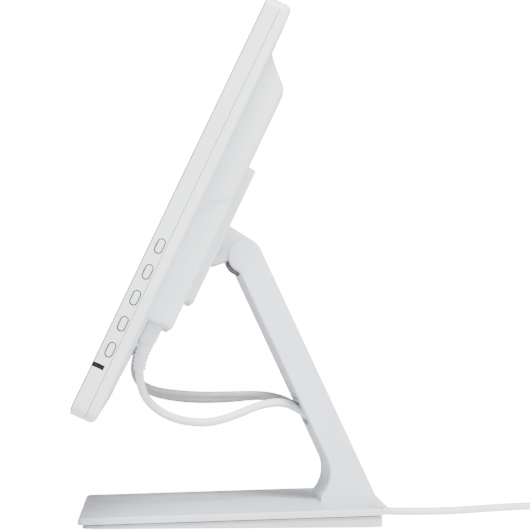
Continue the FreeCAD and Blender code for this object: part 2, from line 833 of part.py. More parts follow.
def frame_plate(side):
    foot_z = weight_top() + flange_thickness
    strap = arm_prism(0, past_arm, -frame_plate_front, frame_plate_rear, frame_plate_end)
    strap = strap.cut(box(-past_side, past_side, 0, past_back, -past_side, foot_z - 0.01))
    tray_inside = base_rear_y - tray_rear_inset - tray_wall - fit_gap
    strap = strap.cut(box(-past_side, past_side, tray_inside, past_back, 0, plate_under(base_rear_y)))
    ear = rod_x(frame_ear_radius, -frame_plate_end, frame_plate_end, hinge_y, hinge_z)
    plate = strap.fuse(ear).common(box(frame_plate_start, frame_plate_end, -past_side, past_back, 0, 300))
    flange = box(frame_plate_end - flange_width, frame_plate_end, flange_front_y, flange_rear_y,
                 weight_top(), foot_z)
    root = box(frame_plate_start, frame_plate_end, flange_front_y, flange_rear_y + frame_root_reach,
               foot_z - 0.01, foot_z + frame_root_height)
    plate = plate.fuse([flange, root])
    plate = plate.cut(rod_x(shaft_radius + running_gap, 0, past_side, hinge_y, hinge_z))
    for across, back in arm_screw_places():
        plate = plate.cut(rod_z(plate_screw_radius + running_gap, abs(across), back, 0, 30))
    return plate if side > 0 else plate.mirror(Vector(0, 0, 0), X_AXIS)


def arm_screw_places():
    across = frame_plate_end - flange_width + flange_screw_side
    rows = (flange_front_y + flange_screw_end, flange_rear_y - flange_screw_end)
    return [(side * across, back) for side in (-1, 1) for back in rows]


# ---------------------------------------------------------------- base
def plate_top(y):
    return base_front_z + base_slope * (y - base_front_y)


def plate_under(y):
    return plate_top(y) - base_plate_thickness


def plate_slice(low_offset, high_offset):
    # Wedge between two planes parallel to the base's top face.
    front, rear = base_front_y - 5, base_rear_y + 5
    points = [(front, plate_under(front) + low_offset), (rear, plate_under(rear) + low_offset),
              (rear, plate_under(rear) + high_offset), (front, plate_under(front) + high_offset)]
    return prism(points, -half_base - 5, half_base + 5)


def base_top():
    block = rounded_slab(-half_base, half_base, base_front_y, base_rear_y, -5, 30, base_corner)
    plate = block.common(plate_slice(0, base_plate_thickness))
    rim = edges_where(plate, lambda p: abs(p.z - plate_top(p.y)) < 1e-4)
    plate = plate.makeChamfer(base_edge_chamfer, rim)
    rear_foot_y = arm_rear_foot_y()
    plinth = prism([(foot_front_y - 0.6, plate_top(foot_front_y) - 1), (foot_front_y, seam_z),
                    (rear_foot_y, seam_z), (hood_tip_y, hood_tip_z),
                    (hood_tip_y, hood_tip_z - hood_tip_thickness),
                    (hood_tip_y - hood_under_run, plate_under(base_rear_y)),
                    (base_rear_y - plinth_under_run, plate_under(base_rear_y))],
                   -half_arm, half_arm)
    well = box(-plinth_window_half, plinth_window_half, plinth_window_front, plinth_window_rear, 0, 40)
    top = plate.fuse(plinth).cut(well)
    for across, back in boss_places():
        top = top.cut(rod_z(boss_thread_radius, across, back, 0, plate_under(back) + 3))
    return top


def arm_rear_foot_y():
    rear_along = (hinge_z + ear_radius * math.cos(arm_angle) - seam_z) / math.sin(arm_angle)
    return arm_point(rear_along, ear_radius)[0]


def tray_block(inset, z_low, z_high):
    return rounded_slab(-half_base + tray_side_inset + inset, half_base - tray_side_inset - inset,
                        base_front_y + tray_front_inset + inset, base_rear_y - tray_rear_inset - inset,
                        z_low, z_high, max(base_corner - inset, 1.0))


def channel(z_low, z_high):
    return box(-channel_half_width, channel_half_width, channel_front_y, base_rear_y + 5, z_low, z_high)


def boss_places():
    x = half_base - tray_side_inset - boss_inset_x
    rows = (base_front_y + tray_front_inset + boss_inset_y, -boss_middle_row, boss_middle_row,
            base_rear_y - boss_inset_y)
    return [(side * x, row) for side in (-1, 1) for row in rows]


def base_tray():
    under = plate_slice(-30, -tray_shadow_gap)
    tray = tray_block(0, pad_thickness, 30).common(under)
    tray = tray.cut(tray_block(tray_wall, pad_thickness + tray_floor, 30))
    for across, back in boss_places():
        post = rod_z(boss_radius, across, back, pad_thickness, 30).common(plate_slice(-30, 0))
        tray = tray.fuse(post)
    for across, back in boss_places():
        tray = tray.cut([rod_z(tray_hole_radius, across, back, 0, 30),
                         rod_z(tray_head_radius, across, back, 0, pad_thickness + 1.3)])
    return tray.cut(channel(0, channel_height))


def base_screws():
    screws = []
    for across, back in boss_places():
        head = rod_z(base_head_radius, across, back, pad_thickness + 0.1, pad_thickness + 1.2)
        shank = rod_z(base_shank_radius, across, back, pad_thickness + 1, plate_under(back) + 2.2)
        screws.append(head.fuse(shank))
    return Part.makeCompound(screws)


def base_pad():
    return tray_block(pad_inset, 0, pad_thickness).cut(channel(-1, 5))


def weight_top():
    return pad_thickness + tray_floor + fit_gap + weight_thickness


def base_weight():
    low = pad_thickness + tray_floor + fit_gap
    rear = base_rear_y - tray_rear_inset - tray_wall - 1
    slab = box(-weight_half_width, weight_half_width, weight_front_y, rear, low, weight_top())
    slab = slab.cut(channel(0, 20))
    for across, back in boss_places():
        slab = slab.cut(rod_z(boss_radius + weight_boss_gap, across, back, 0, 30))
    for across, back in arm_screw_places():
        slab = slab.cut([rod_z(screw_head_radius + fit_gap, across, back, 0, low + weight_head_depth),
                         rod_z(plate_screw_radius + fit_gap, across, back, 0, 30)])
    return slab


def arm_screws():
    low = pad_thickness + tray_floor + fit_gap
    screws = []
    for across, back in arm_screw_places():
        head = rod_z(screw_head_radius, across, back, low + 0.05, low + 1.6)
        shank = rod_z(plate_screw_radius, across, back, low + 1, weight_top() + flange_thickness)
        screws.append(head.fuse(shank))
    return Part.makeCompound(screws)


# ---------------------------------------------------------------- leads
# Each route is a list of points picked by hand; a tube runs straight between them with tangent arcs.
video_route = [(45, -75.2, 130.6), (45, -75.6, 113), (45, -63, 95), (44, -42, 84.8), (41, -17, 82.2),
               (36, 6, 88.5), (29, 28, 97.8), (20, 50, 100.2), (13, 68, 90.4), (10, 81, 80),
               (9, 90.7, 68.7), (9, 96.6, 56)]
usb_route = [(5, -77.4, 141.8), (5, -81.4, 129.5), (5, -76.5, 117), (4.6, -64, 110), (4, -46, 107),
             (3, -22, 105.2), (2, 6, 105.6), (1, 32, 106.2), (0.4, 52, 102), (0, 67.5, 92), (0, 80.5, 80.5),
             (0, 90.7, 68.7), (0, 96.6, 56)]
power_route = [(-22, -77.4, 141.8), (-22, -81.4, 129), (-22, -77, 115.5), (-21.6, -65, 106.5),
               (-21, -47, 102.3), (-20, -24, 100.2), (-18, 4, 101), (-14.5, 31, 104), (-11.5, 51.5, 101.2),
               (-9.4, 67.5, 91.2), (-9, 80.5, 80), (-9, 90.7, 68.7), (-9, 96.6, 56)]
main_route = [(0, 105.08, 37.88), (0, 110.5, 26.4), (0, 116, 11.5), (0.5, 127, 4.4), (2, 144, 3.5),
              (5, 166, 3.4), (3, 190, 3.4), (-7, 214, 3.4), (-22, 239, 3.4), (-36, 265, 3.4),
              (-43, 290, 3.4), (-44.2, 310, 3.4), (-44, 327, 3.4)]


def lead_tube(name, route, diameter):
    points = [Vector(*point) for point in route]
    edges = []
    radii = []
    length = 0.0
    start = points[0]
    for before, corner, after in zip(points, points[1:], points[2:]):
        into = (corner - before).normalize()
        out = (after - corner).normalize()
        half_turn = into.getAngle(out) / 2
        reach = bend_share * min((corner - before).Length, (after - corner).Length)
        radii.append(reach / math.tan(half_turn))
        arc_start = corner - into * reach
        arc_end = corner + out * reach
        inward = (out - into).normalize()
        middle = corner + inward * (radii[-1] / math.cos(half_turn) - radii[-1])
        edges.append(Part.LineSegment(start, arc_start).toShape())
        edges.append(Part.Arc(arc_start, middle, arc_end).toShape())
        length += (arc_start - start).Length + 2 * half_turn * radii[-1]
        start = arc_end
    edges.append(Part.LineSegment(start, points[-1]).toShape())
    length += (points[-1] - start).Length
    path = Part.Wire(edges)
    circle = Part.Wire(Part.makeCircle(diameter / 2, points[0], points[1] - points[0]))
    tube = path.makePipeShell([circle], True, False)
    expected = math.pi * diameter ** 2 / 4 * length
    print(f"{name}: length {length:.1f}, volume {tube.Volume / expected:.4f} of section x length,",
          f"least radius {min(radii):.1f} = {min(radii) / diameter:.1f} diameters,",
          "radii", [round(radius, 1) for radius in radii])
    return tube


def cone(start, end, start_radius, end_radius):
    return Part.makeCone(start_radius, end_radius, (end - start).Length, start, end - start)


def plug(across, width, depth_wide, body_end, tip_width, tip_height, route, radius):
    # Moulded body against the bulge's bottom face, a tip inside the socket and a tapered relief
    # that stops just short of its lead, parallel to the lead's end.
    half = depth_wide / 2
    body = box(across - width / 2, across + width / 2, body_end, bulge_bottom - 0.1,
               -plug_depth - half, -plug_depth + half)
    body = body.makeFillet(plug_body_round, [edge for edge in body.Edges if runs_up(edge)])
    tip = box(across - tip_width / 2 + tip_side_gap, across + tip_width / 2 - tip_side_gap,
              body_end + 1, bulge_bottom + tip_reach,
              -plug_depth - tip_height / 2 + tip_face_gap, -plug_depth + tip_height / 2 - tip_side_gap)
    head = leaned(body.fuse(tip))
    start = leaned_point(across, body_end + relief_start, plug_depth)
    finish = Vector(*route[0])
    lead_way = (Vector(*route[1]) - finish).normalize()
    overrun = (finish - start).normalize() * relief_overrun
    relief = cone(start, finish + overrun, min(depth_wide / 2 - relief_side_gap, radius + relief_wide),
                  radius + relief_narrow)
    relief = relief.cut(rod(radius * 5, finish - lead_way * plug_gap, finish + lead_way * 20))
    return head.fuse(relief)


def yoke():
    top = Vector(0, yoke_top_y, yoke_top_z)
    down = Vector(0, math.cos(arm_angle), -math.sin(arm_angle))
    across_arm = Vector(0, math.sin(arm_angle), math.cos(arm_angle))
    wires = []
    for share, half, thick in yoke_sections:
        centre = top + down * (yoke_length * share)
        corners = [centre + X_AXIS * (sx * half) + across_arm * (sy * thick)
                   for sx, sy in ((-1, -1), (1, -1), (1, 1), (-1, 1))]
        wires.append(Part.makePolygon([*corners, corners[0]]))
    return Part.makeLoft(wires, True, True)


def lead_coil():
    ring = rod_z(coil_outer_radius, coil_centre_x, coil_centre_y, 0, coil_height)
    ring = ring.cut(rod_z(coil_inner_radius, coil_centre_x, coil_centre_y, -cut_beyond,
                          coil_height + cut_beyond))
    return ring.makeFillet(coil_edge_round, [edge for edge in ring.Edges if is_ring_edge(edge)])


def is_ring_edge(edge):
    return len(edge.Vertexes) == 1


def lead_tie():
    outer = coil_outer_radius + tie_thickness
    inner = coil_inner_radius - tie_thickness
    block = box(coil_centre_x - outer, coil_centre_x - inner, coil_centre_y - tie_width / 2,
                coil_centre_y + tie_width / 2, 0, coil_height + tie_thickness)
    return block.cut(lead_coil()).Solids


def main_connector():
    x = coil_centre_x + connector_offset
    z = coil_height + connector_rise
    tail_y = coil_centre_y - connector_tail
    narrow, wide = connector_relief_radii
    relief = cone(Vector(x, tail_y, z), Vector(x, tail_y + connector_relief_length, z), narrow, wide)
    body = box(x - connector_half_width, x + connector_half_width,
               tail_y + connector_body_start, tail_y + connector_body_end,
               z - connector_half_height, z + connector_half_height)
    body = body.makeFillet(connector_round, [edge for edge in body.Edges if runs_up(edge)])
    half_wide, half_high = connector_shell_half
    shell = box(x - half_wide, x + half_wide, tail_y + connector_body_end, tail_y + connector_shell_end,
                z - half_high, z + half_high)
    inner_wide = half_wide - connector_shell_wall
    inner_high = half_high - connector_shell_wall
    bore = box(x - inner_wide, x + inner_wide, tail_y + connector_body_end + 2,
               tail_y + connector_shell_end + 4, z - inner_high, z + inner_high)
    return body.fuse(relief), shell.cut(bore)


# ---------------------------------------------------------------- all pieces
panel, sensor, chassis = screen_stack()
key_pcb, key_switches = key_board()
display_pieces = {
    "front_bezel": front_bezel(),
    "front_glass": front_glass(),
    "rear_cover": rear_cover(),
    "lcd_panel": panel,
    "pen_sensor_board": sensor,
    "inner_chassis": chassis,
    "main_board": main_board(),
    "power_board": power_board(),
    "key_board": key_pcb,
    "key_switches": key_switches,
    "power_lamp_window": lamp_window(),
    "mount_plate": mount_plate(),
    "plate_screws": plate_screws(),
    "neck_screws": neck_screws(),
    "cover_screws": cover_screws(),
    "hinge_neck": neck(),
    "hinge_barrel": barrel(),
    "hinge_bushes": bushes(),
}
for number, rise in enumerate(key_rises(), start=1):
    display_pieces[f"side_key_{number}"] = side_key(rise)
for name, size in zip(("video", "usb", "power"), socket_sizes()):
    display_pieces[f"{name}_socket"] = socket(*size)

pieces = {name: leaned(shape) for name, shape in display_pieces.items()}
pieces.update({
    "hinge_shaft": hinge_shaft(),
    "friction_washers": friction_washers(),
    "hinge_nuts": hinge_nuts(),
    "arm_shell": arm_shell(),
    "arm_rear_cover": arm_rear_cover(),
    "lead_grommet": lead_grommet(),
    "arm_frame_right": frame_plate(1),
    "arm_frame_left": frame_plate(-1),
    "arm_screws": arm_screws(),
    "base_top": base_top(),
    "base_tray": base_tray(),
    "base_screws": base_screws(),
    "base_pad": base_pad(),
    "base_weight": base_weight(),
    "video_plug": plug(45.0, 21.0, 13.4, 66, 15.0, 6.0, video_route, video_diameter / 2),
    "usb_plug": plug(5.0, 17.0, 11.4, 70, 12.0, 5.6, usb_route, lead_diameter / 2),
    "power_plug": plug(-22.0, 12.0, 11.4, 70, 7.0, 7.0, power_route, lead_diameter / 2),
    "video_lead": lead_tube("video_lead", video_route, video_diameter),
    "usb_lead": lead_tube("usb_lead", usb_route, lead_diameter),
    "power_lead": lead_tube("power_lead", power_route, lead_diameter),
    "lead_yoke": yoke(),
    "main_lead": lead_tube("main_lead", main_route, main_diameter),
    "lead_coil": lead_coil(),
    "lead_tie": Part.makeCompound(lead_tie()),
})
pieces["main_connector"], pieces["connector_shell"] = main_connector()

os.makedirs("parts", exist_ok=True)
for name, shape in pieces.items():
    if not shape.isValid() or not shape.Solids:
        raise ValueError(f"{name} is not a valid solid")
    print(f"{name}: {len(shape.Solids)} solid(s), {shape.Volume / 1000:.2f} cm3")
    shape.exportStep(f"parts/{name}.step")
print(len(pieces), "nodes")
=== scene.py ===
import math

import bpy
import numpy as np
from mathutils import Matrix, Vector


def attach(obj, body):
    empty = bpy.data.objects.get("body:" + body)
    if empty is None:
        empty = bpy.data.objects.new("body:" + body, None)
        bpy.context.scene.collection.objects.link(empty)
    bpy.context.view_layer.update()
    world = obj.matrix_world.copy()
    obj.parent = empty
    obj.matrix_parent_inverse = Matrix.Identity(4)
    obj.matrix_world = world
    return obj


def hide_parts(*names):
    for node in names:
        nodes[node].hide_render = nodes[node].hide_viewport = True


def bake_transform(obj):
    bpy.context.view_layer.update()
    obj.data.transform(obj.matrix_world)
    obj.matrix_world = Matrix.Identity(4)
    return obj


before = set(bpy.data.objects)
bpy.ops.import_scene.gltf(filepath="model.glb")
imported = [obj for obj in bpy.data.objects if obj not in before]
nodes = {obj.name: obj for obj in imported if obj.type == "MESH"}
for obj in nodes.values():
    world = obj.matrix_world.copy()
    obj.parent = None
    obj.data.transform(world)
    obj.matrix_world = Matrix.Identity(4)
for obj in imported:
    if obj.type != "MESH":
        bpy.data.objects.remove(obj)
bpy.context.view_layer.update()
mm = 0.001
# the hinge line in mm, on the display's drawing (rise, depth) and in the world (y, z), and the screen's
# lean in degrees
hinge = {"rise": 174.1, "depth": 73.9, "y": 14.9, "z": 225.5, "lean": 64.77}
print("frame loaded:", len(nodes), "nodes")


def linearColour(hexText):
    # sRGB to linear: below 0.04045 it is c / 12.92, above it ((c + 0.055) / 1.055) to the power 2.4
    channels = [int(hexText[i:i + 2], 16) / 255 for i in (0, 2, 4)]
    linear = [c / 12.92 if c <= 0.04045 else ((c + 0.055) / 1.055) ** 2.4 for c in channels]
    return (*linear, 1.0)


def addNode(tree, kind, values=None, links=None, **settings):
    # settings go on the node itself, values on its sockets, and links join other sockets to its own
    node = tree.nodes.new(kind)
    for key, value in settings.items():
        setattr(node, key, value)
    for key, value in (values or {}).items():
        node.inputs[key].default_value = value
    for key, source in (links or {}).items():
        tree.links.new(source, node.inputs[key])
    return node


def newMaterial(name):
    # one shader straight to the output; what the finish needs is added to its sockets
    material = bpy.data.materials.new(name)
    material.use_nodes = True
    tree = material.node_tree
    tree.nodes.clear()
    shader = addNode(tree, "ShaderNodeBsdfPrincipled")
    output = addNode(tree, "ShaderNodeOutputMaterial")
    tree.links.new(shader.outputs["BSDF"], output.inputs["Surface"])
    return material, tree, shader


noiseRange = (0.35, 0.65)


def objectNoise(tree, sizeMm):
    # one noise cell is sizeMm wide: the scale is 1 / size in metres
    place = addNode(tree, "ShaderNodeTexCoord")
    return addNode(tree, "ShaderNodeTexNoise", {"Scale": 1 / (sizeMm * mm), "Detail": 3.0},
                   {"Vector": place.outputs["Object"]})


def addGrain(tree, shader, sizeMm, heightMm):
    # the surface stands up by the noise, from 0 to 1, times heightMm
    noise = objectNoise(tree, sizeMm)
    bump = addNode(tree, "ShaderNodeBump", {"Strength": 1.0, "Distance": heightMm * mm},
                   {"Height": noise.outputs["Fac"]})
    tree.links.new(bump.outputs["Normal"], shader.inputs["Normal"])


def varyRoughness(tree, shader, sizeMm, low, high):
    # straight from low to high as the noise goes through the range that nearly all of it lies in
    noise = objectNoise(tree, sizeMm)
    limits = {"From Min": noiseRange[0], "From Max": noiseRange[1], "To Min": low, "To Max": high}
    spread = addNode(tree, "ShaderNodeMapRange", limits, {"Value": noise.outputs["Fac"]})
    tree.links.new(spread.outputs["Result"], shader.inputs["Roughness"])


def rampColour(tree, shader, source, places, hexTexts):
    # straight from the first colour to the second as the source goes between the two places
    ramp = addNode(tree, "ShaderNodeValToRGB", links={"Fac": source.outputs["Fac"]})
    for element, place, hexText in zip(ramp.color_ramp.elements, places, hexTexts):
        element.position = place
        element.color = linearColour(hexText)
    tree.links.new(ramp.outputs["Color"], shader.inputs["Base Color"])


def varyColour(tree, shader, sizeMm, darkHex, lightHex):
    # from dark to light with the noise
    rampColour(tree, shader, objectNoise(tree, sizeMm), noiseRange, (darkHex, lightHex))


def plasticMaterial(look):
    # colour in patches, roughness in patches 0.6 times as wide, and grain
    material, tree, shader = newMaterial(look["name"])
    shader.inputs["IOR"].default_value = look.get("ior", 1.5)
    varyColour(tree, shader, look.get("patchMm", 60), look["dark"], look["light"])
    varyRoughness(tree, shader, look.get("patchMm", 60) * 0.6, *look["rough"])
    addGrain(tree, shader, look["grainMm"], look["grainHeightMm"])
    return material


def metalMaterial(look):
    # the same with roughness in patches half as wide, on metal
    material, tree, shader = newMaterial(look["name"])
    shader.inputs["Metallic"].default_value = 1.0
    varyColour(tree, shader, look["patchMm"], look["dark"], look["light"])
    varyRoughness(tree, shader, look["patchMm"] * 0.5, *look["rough"])
    addGrain(tree, shader, look["grainMm"], look["grainHeightMm"])
    return material


def glassMaterial(look):
    # the screen is off: a dark grey picture area inside a black border, behind one etched sheet
    material, tree, shader = newMaterial(look["name"])
    shader.inputs["IOR"].default_value = 1.52
    shader.inputs["Coat Weight"].default_value = 0.35
    shader.inputs["Coat Roughness"].default_value = 0.12
    place = addNode(tree, "ShaderNodeTexCoord")
    # turning back by the lean makes y run up the screen; the shift puts the picture's middle at zero
    flat = addNode(tree, "ShaderNodeMapping", {"Rotation": (-math.radians(hinge["lean"]), 0, 0),
                                               "Location": (0, -look["pictureMiddle"], 0)},
                   {"Vector": place.outputs["Object"]})
    apart = addNode(tree, "ShaderNodeSeparateXYZ", links={"Vector": flat.outputs["Vector"]})
    inside = []
    for axis, half in (("X", look["pictureHalf"][0]), ("Y", look["pictureHalf"][1])):
        away = addNode(tree, "ShaderNodeMath", links={0: apart.outputs[axis]}, operation="ABSOLUTE")
        inside.append(addNode(tree, "ShaderNodeMath", {1: half}, {0: away.outputs[0]},
                              operation="LESS_THAN"))
    picture = addNode(tree, "ShaderNodeMath", links={0: inside[0].outputs[0], 1: inside[1].outputs[0]},
                      operation="MULTIPLY")
    # the picture's grey changes by 6 parts in 100 over patches 200 mm wide
    noise = objectNoise(tree, 200)
    tint = addNode(tree, "ShaderNodeMath", {1: 0.06, 2: 0.94}, {0: noise.outputs["Fac"]},
                   operation="MULTIPLY_ADD")
    share = addNode(tree, "ShaderNodeMath", links={0: picture.outputs[0], 1: tint.outputs[0]},
                    operation="MULTIPLY")
    colour = addNode(tree, "ShaderNodeMix", data_type="RGBA")
    colour.inputs[6].default_value = linearColour(look["border"])
    colour.inputs[7].default_value = linearColour(look["picture"])
    tree.links.new(share.outputs[0], colour.inputs[0])
    tree.links.new(colour.outputs[2], shader.inputs["Base Color"])
    varyRoughness(tree, shader, 35, *look["rough"])
    addGrain(tree, shader, 0.12, 0.0012)
    return material


def boardMaterial(look):
    # copper runs under the mask show as slightly paler stripes; the wave's scale is 1 / pitch / 6.283
    material, tree, shader = newMaterial(look["name"])
    place = addNode(tree, "ShaderNodeTexCoord")
    waveScale = 1 / (look["runsMm"] * mm) / 6.283
    wave = addNode(tree, "ShaderNodeTexWave", {"Scale": waveScale, "Distortion": 2.0, "Detail": 1.0},
                   {"Vector": place.outputs["Object"]})
    rampColour(tree, shader, wave, (0.42, 0.58), (look["dark"], look["light"]))
    varyRoughness(tree, shader, 8, *look["rough"])
    return material


# injection-moulded white ABS with a fine spark texture: a soft satin white with no sharp highlight; the
# real grain, here and on the other plastics and metals, is too fine to show and is drawn wider than it is
shellLook = {"name": "white_abs_moulding", "dark": "E6E9ED", "light": "E9ECF0", "rough": (0.40, 0.46),
             "grainMm": 0.55, "grainHeightMm": 0.010}
# the arm is the same ABS, drawn a shade greyer as painted shade for the display that hangs over it
armShadeLook = {"name": "white_abs_moulding_arm_painted_shade", "dark": "D5D8DF", "light": "D8DBE2", "rough": (0.40, 0.46),
           "grainMm": 0.55, "grainHeightMm": 0.010}
# the base is the same ABS again, slightly rougher, and drawn greyer as painted shade from the display above
# it
baseShadeLook = {"name": "white_abs_moulding_base_painted_shade", "dark": "D0D3D9", "light": "D3D6DC", "rough": (0.42, 0.48),
            "grainMm": 0.55, "grainHeightMm": 0.010}
# the same ABS in a coarser texture, greyer because it lies in shade
trayLook = {"name": "white_abs_underside", "dark": "BFC0C3", "light": "C4C5C8", "rough": (0.5, 0.56),
            "grainMm": 0.8, "grainHeightMm": 0.014}
# keys are polished a little smoother than the case, so they catch a slightly brighter edge
keyLook = {"name": "white_abs_keys", "dark": "E3E6EA", "light": "E6E9ED", "rough": (0.36, 0.42),
           "grainMm": 0.35, "grainHeightMm": 0.006}
# moulded black nylon: dull, with a faint sheen
nylonLook = {"name": "black_nylon", "dark": "141416", "light": "19191B", "rough": (0.5, 0.6), "patchMm": 20,
             "grainMm": 0.3, "grainHeightMm": 0.010}
# smoked acrylic lamp window: nearly black and glossy
smokedLook = {"name": "smoked_acrylic", "dark": "0E0F11", "light": "131416",
              "rough": (0.12, 0.18), "patchMm": 10, "grainMm": 1.5, "grainHeightMm": 0.002}
# etched glass: broad soft reflections over black; its picture area is 476 by 268 mm
glassLook = {"name": "etched_cover_glass", "border": "060708", "picture": "191B1E", "rough": (0.24, 0.3),
             "pictureHalf": (0.238, 0.134), "pictureMiddle": 0.2083}
# the panel's frame is grey moulded plastic, even and satin
panelLook = {"name": "panel_frame_plastic", "dark": "3A3C40", "light": "44464A", "rough": (0.45, 0.55),
             "grainMm": 0.6, "grainHeightMm": 0.012}
# glass-fibre boards under solder mask: deep green with a lacquer's gloss and paler copper runs
boardLook = {"name": "green_solder_mask", "dark": "0C3B22", "light": "14502F", "rough": (0.3, 0.4),
             "runsMm": 1.3}
# the key switches are small black mouldings, satin
switchLook = {"name": "black_switch_plastic", "dark": "1B1B1C", "light": "222223",
              "rough": (0.4, 0.5), "patchMm": 4, "grainMm": 0.3, "grainHeightMm": 0.006}
# zinc-plated pressed steel: pale blue-grey metal with a mild bloom
zincLook = {"name": "zinc_plated_steel", "dark": "A9ADB3", "light": "B9BDC2",
            "rough": (0.3, 0.42), "patchMm": 9, "grainMm": 0.8, "grainHeightMm": 0.012}
# nickel-plated screws and plug shell: warmer and brighter than the zinc
nickelLook = {"name": "nickel_plated_steel", "dark": "B4B1A8", "light": "C2BFB6",
              "rough": (0.2, 0.28), "patchMm": 6, "grainMm": 0.5, "grainHeightMm": 0.005}
# sintered bronze bushes: brown-gold and finely pitted
bronzeLook = {"name": "sintered_bronze", "dark": "8A6636", "light": "A07A45",
              "rough": (0.42, 0.55), "patchMm": 2.5, "grainMm": 0.18, "grainHeightMm": 0.02}
# the sockets are black glass-filled plastic, slightly duller than the switches
socketLook = {"name": "black_socket_plastic", "dark": "121213", "light": "171718", "rough": (0.45, 0.55),
              "patchMm": 6, "grainMm": 0.4, "grainHeightMm": 0.006}
# matt sheet rubber: black with almost no highlight
rubberLook = {"name": "black_sheet_rubber", "dark": "171718", "light": "1D1D1E",
              "rough": (0.7, 0.8), "patchMm": 30, "grainMm": 0.5, "grainHeightMm": 0.03}
# extruded soft PVC: smooth, with a long soft highlight along each lead
whitePvcLook = {"name": "soft_white_pvc", "dark": "E9EAEC", "light": "EDEEF0",
                "rough": (0.42, 0.5), "patchMm": 18, "grainMm": 0.5, "grainHeightMm": 0.012}
# the same PVC drawn light grey and a little duller, on the two leads that run deeper under the display
greyPvcLook = {"name": "soft_grey_pvc", "dark": "939598", "light": "9A9C9F",
               "rough": (0.45, 0.53), "patchMm": 18, "grainMm": 0.5, "grainHeightMm": 0.012}
whiteAbs = plasticMaterial(shellLook)
armShadeAbs = plasticMaterial(armShadeLook)
baseShadeAbs = plasticMaterial(baseShadeLook)
trayAbs = plasticMaterial(trayLook)
keyAbs = plasticMaterial(keyLook)
blackNylon = plasticMaterial(nylonLook)
smokedAcrylic = plasticMaterial(smokedLook)
coverGlass = glassMaterial(glassLook)
panelPlastic = plasticMaterial(panelLook)
greenBoard = boardMaterial(boardLook)
switchPlastic = plasticMaterial(switchLook)
zincSteel = metalMaterial(zincLook)
nickelSteel = metalMaterial(nickelLook)
bronze = metalMaterial(bronzeLook)
socketPlastic = plasticMaterial(socketLook)
blackRubber = plasticMaterial(rubberLook)
whitePvc = plasticMaterial(whitePvcLook)
greyPvc = plasticMaterial(greyPvcLook)

nodeMaterials = {
    whiteAbs: ["front_bezel", "rear_cover", "mount_plate", "hinge_neck"],
    keyAbs: [f"side_key_{number}" for number in range(1, 6)],
    armShadeAbs: ["arm_shell", "arm_rear_cover", "lead_grommet"],
    baseShadeAbs: ["base_top"],
    trayAbs: ["base_tray"],
    coverGlass: ["front_glass"],
    smokedAcrylic: ["power_lamp_window"],
    blackNylon: ["hinge_barrel", "lead_tie"],
    panelPlastic: ["lcd_panel"],
    greenBoard: ["main_board", "power_board", "key_board", "pen_sensor_board"],
    switchPlastic: ["key_switches"],
    zincSteel: ["inner_chassis", "arm_frame_right", "arm_frame_left", "base_weight", "friction_washers",
                "hinge_nuts", "hinge_shaft"],
    nickelSteel: ["plate_screws", "neck_screws", "cover_screws", "arm_screws", "base_screws",
                  "connector_shell"],
    bronze: ["hinge_bushes"],
    socketPlastic: ["video_socket", "usb_socket", "power_socket"],
    blackRubber: ["base_pad"],
    whitePvc: ["video_plug", "video_lead", "lead_yoke", "main_lead", "lead_coil", "main_connector"],
    greyPvc: ["usb_plug", "power_plug", "usb_lead", "power_lead"],
}
for material, names in nodeMaterials.items():
    for name in names:
        nodes[name].data.materials.clear()
        nodes[name].data.materials.append(material)
print("materials:", len(nodeMaterials))


def finishMesh(name, points, faces, material, body, smoothAngle=35):
    # smooth shading, with an edge sharp where its faces turn by more than smoothAngle degrees
    mesh = bpy.data.meshes.new(name)
    mesh.from_pydata([tuple(p) for p in points], [], faces)
    mesh.update()
    mesh.materials.append(material)
    piece = bpy.data.objects.new(name, mesh)
    bpy.context.scene.collection.objects.link(piece)
    mesh.polygons.foreach_set("use_smooth", [True] * len(mesh.polygons))
    mesh.set_sharp_from_angle(angle=math.radians(smoothAngle))
    if body:
        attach(piece, body)
    return piece


def loftFaces(ringCount, count, closeLoop=False):
    # squares between each ring and the next; the ends get caps unless the last ring joins the first
    faces = []
    for ring in range(ringCount if closeLoop else ringCount - 1):
        after = (ring + 1) % ringCount
        for i in range(count):
            j = (i + 1) % count
            faces.append((ring * count + i, ring * count + j, after * count + j, after * count + i))
    if not closeLoop:
        faces.append(tuple(reversed(range(count))))
        faces.append(tuple(range((ringCount - 1) * count, ringCount * count)))
    return faces


def loftPiece(name, rings, material, body, closeLoop=False, smoothAngle=35):
    # rings run the same way round, each counter-clockwise seen from the next one
    rings = np.array(rings, float)
    ringCount, count = rings.shape[:2]
    faces = loftFaces(ringCount, count, closeLoop)
    return finishMesh(name, rings.reshape(-1, 3), faces, material, body, smoothAngle)


def sweepFrames(points, side):
    # along each point: its direction, and two cross directions carried from one to the next
    points = np.array(points, float)
    direction = np.gradient(points, axis=0)
    direction /= np.linalg.norm(direction, axis=1)[:, None]
    side = np.array(side, float)
    frames = []
    for d in direction:
        side = side - d * side.dot(d)
        side /= np.linalg.norm(side)
        frames.append((d, side, np.cross(d, side)))
    return frames


def ringsAlong(points, sections, side):
    # sections are (n, 2) outlines: one for all, or one per point
    frames = sweepFrames(points, side)
    sections = np.array(sections, float)
    if sections.ndim == 2:
        sections = np.repeat(sections[None], len(points), axis=0)
    return [np.array(p) + np.outer(s[:, 0], f[1]) + np.outer(s[:, 1], f[2])
            for p, s, f in zip(points, sections, frames)]


def circleSection(radius, count=20):
    # radius times the cosine and the sine of even turns
    turn = np.arange(count) * 2 * math.pi / count
    return np.stack([radius * np.cos(turn), radius * np.sin(turn)], 1)


def roundSection(halfWide, halfHigh, corner, perCorner=6):
    # rounded rectangle: four quarter circles joined by straight sides
    outline = []
    for number, (sx, sy) in enumerate(((1, 1), (-1, 1), (-1, -1), (1, -1))):
        for step in range(perCorner):
            turn = math.pi / 2 * (number + step / (perCorner - 1))
            outline.append((sx * (halfWide - corner) + corner * math.cos(turn),
                            sy * (halfHigh - corner) + corner * math.sin(turn)))
    return np.array(outline)


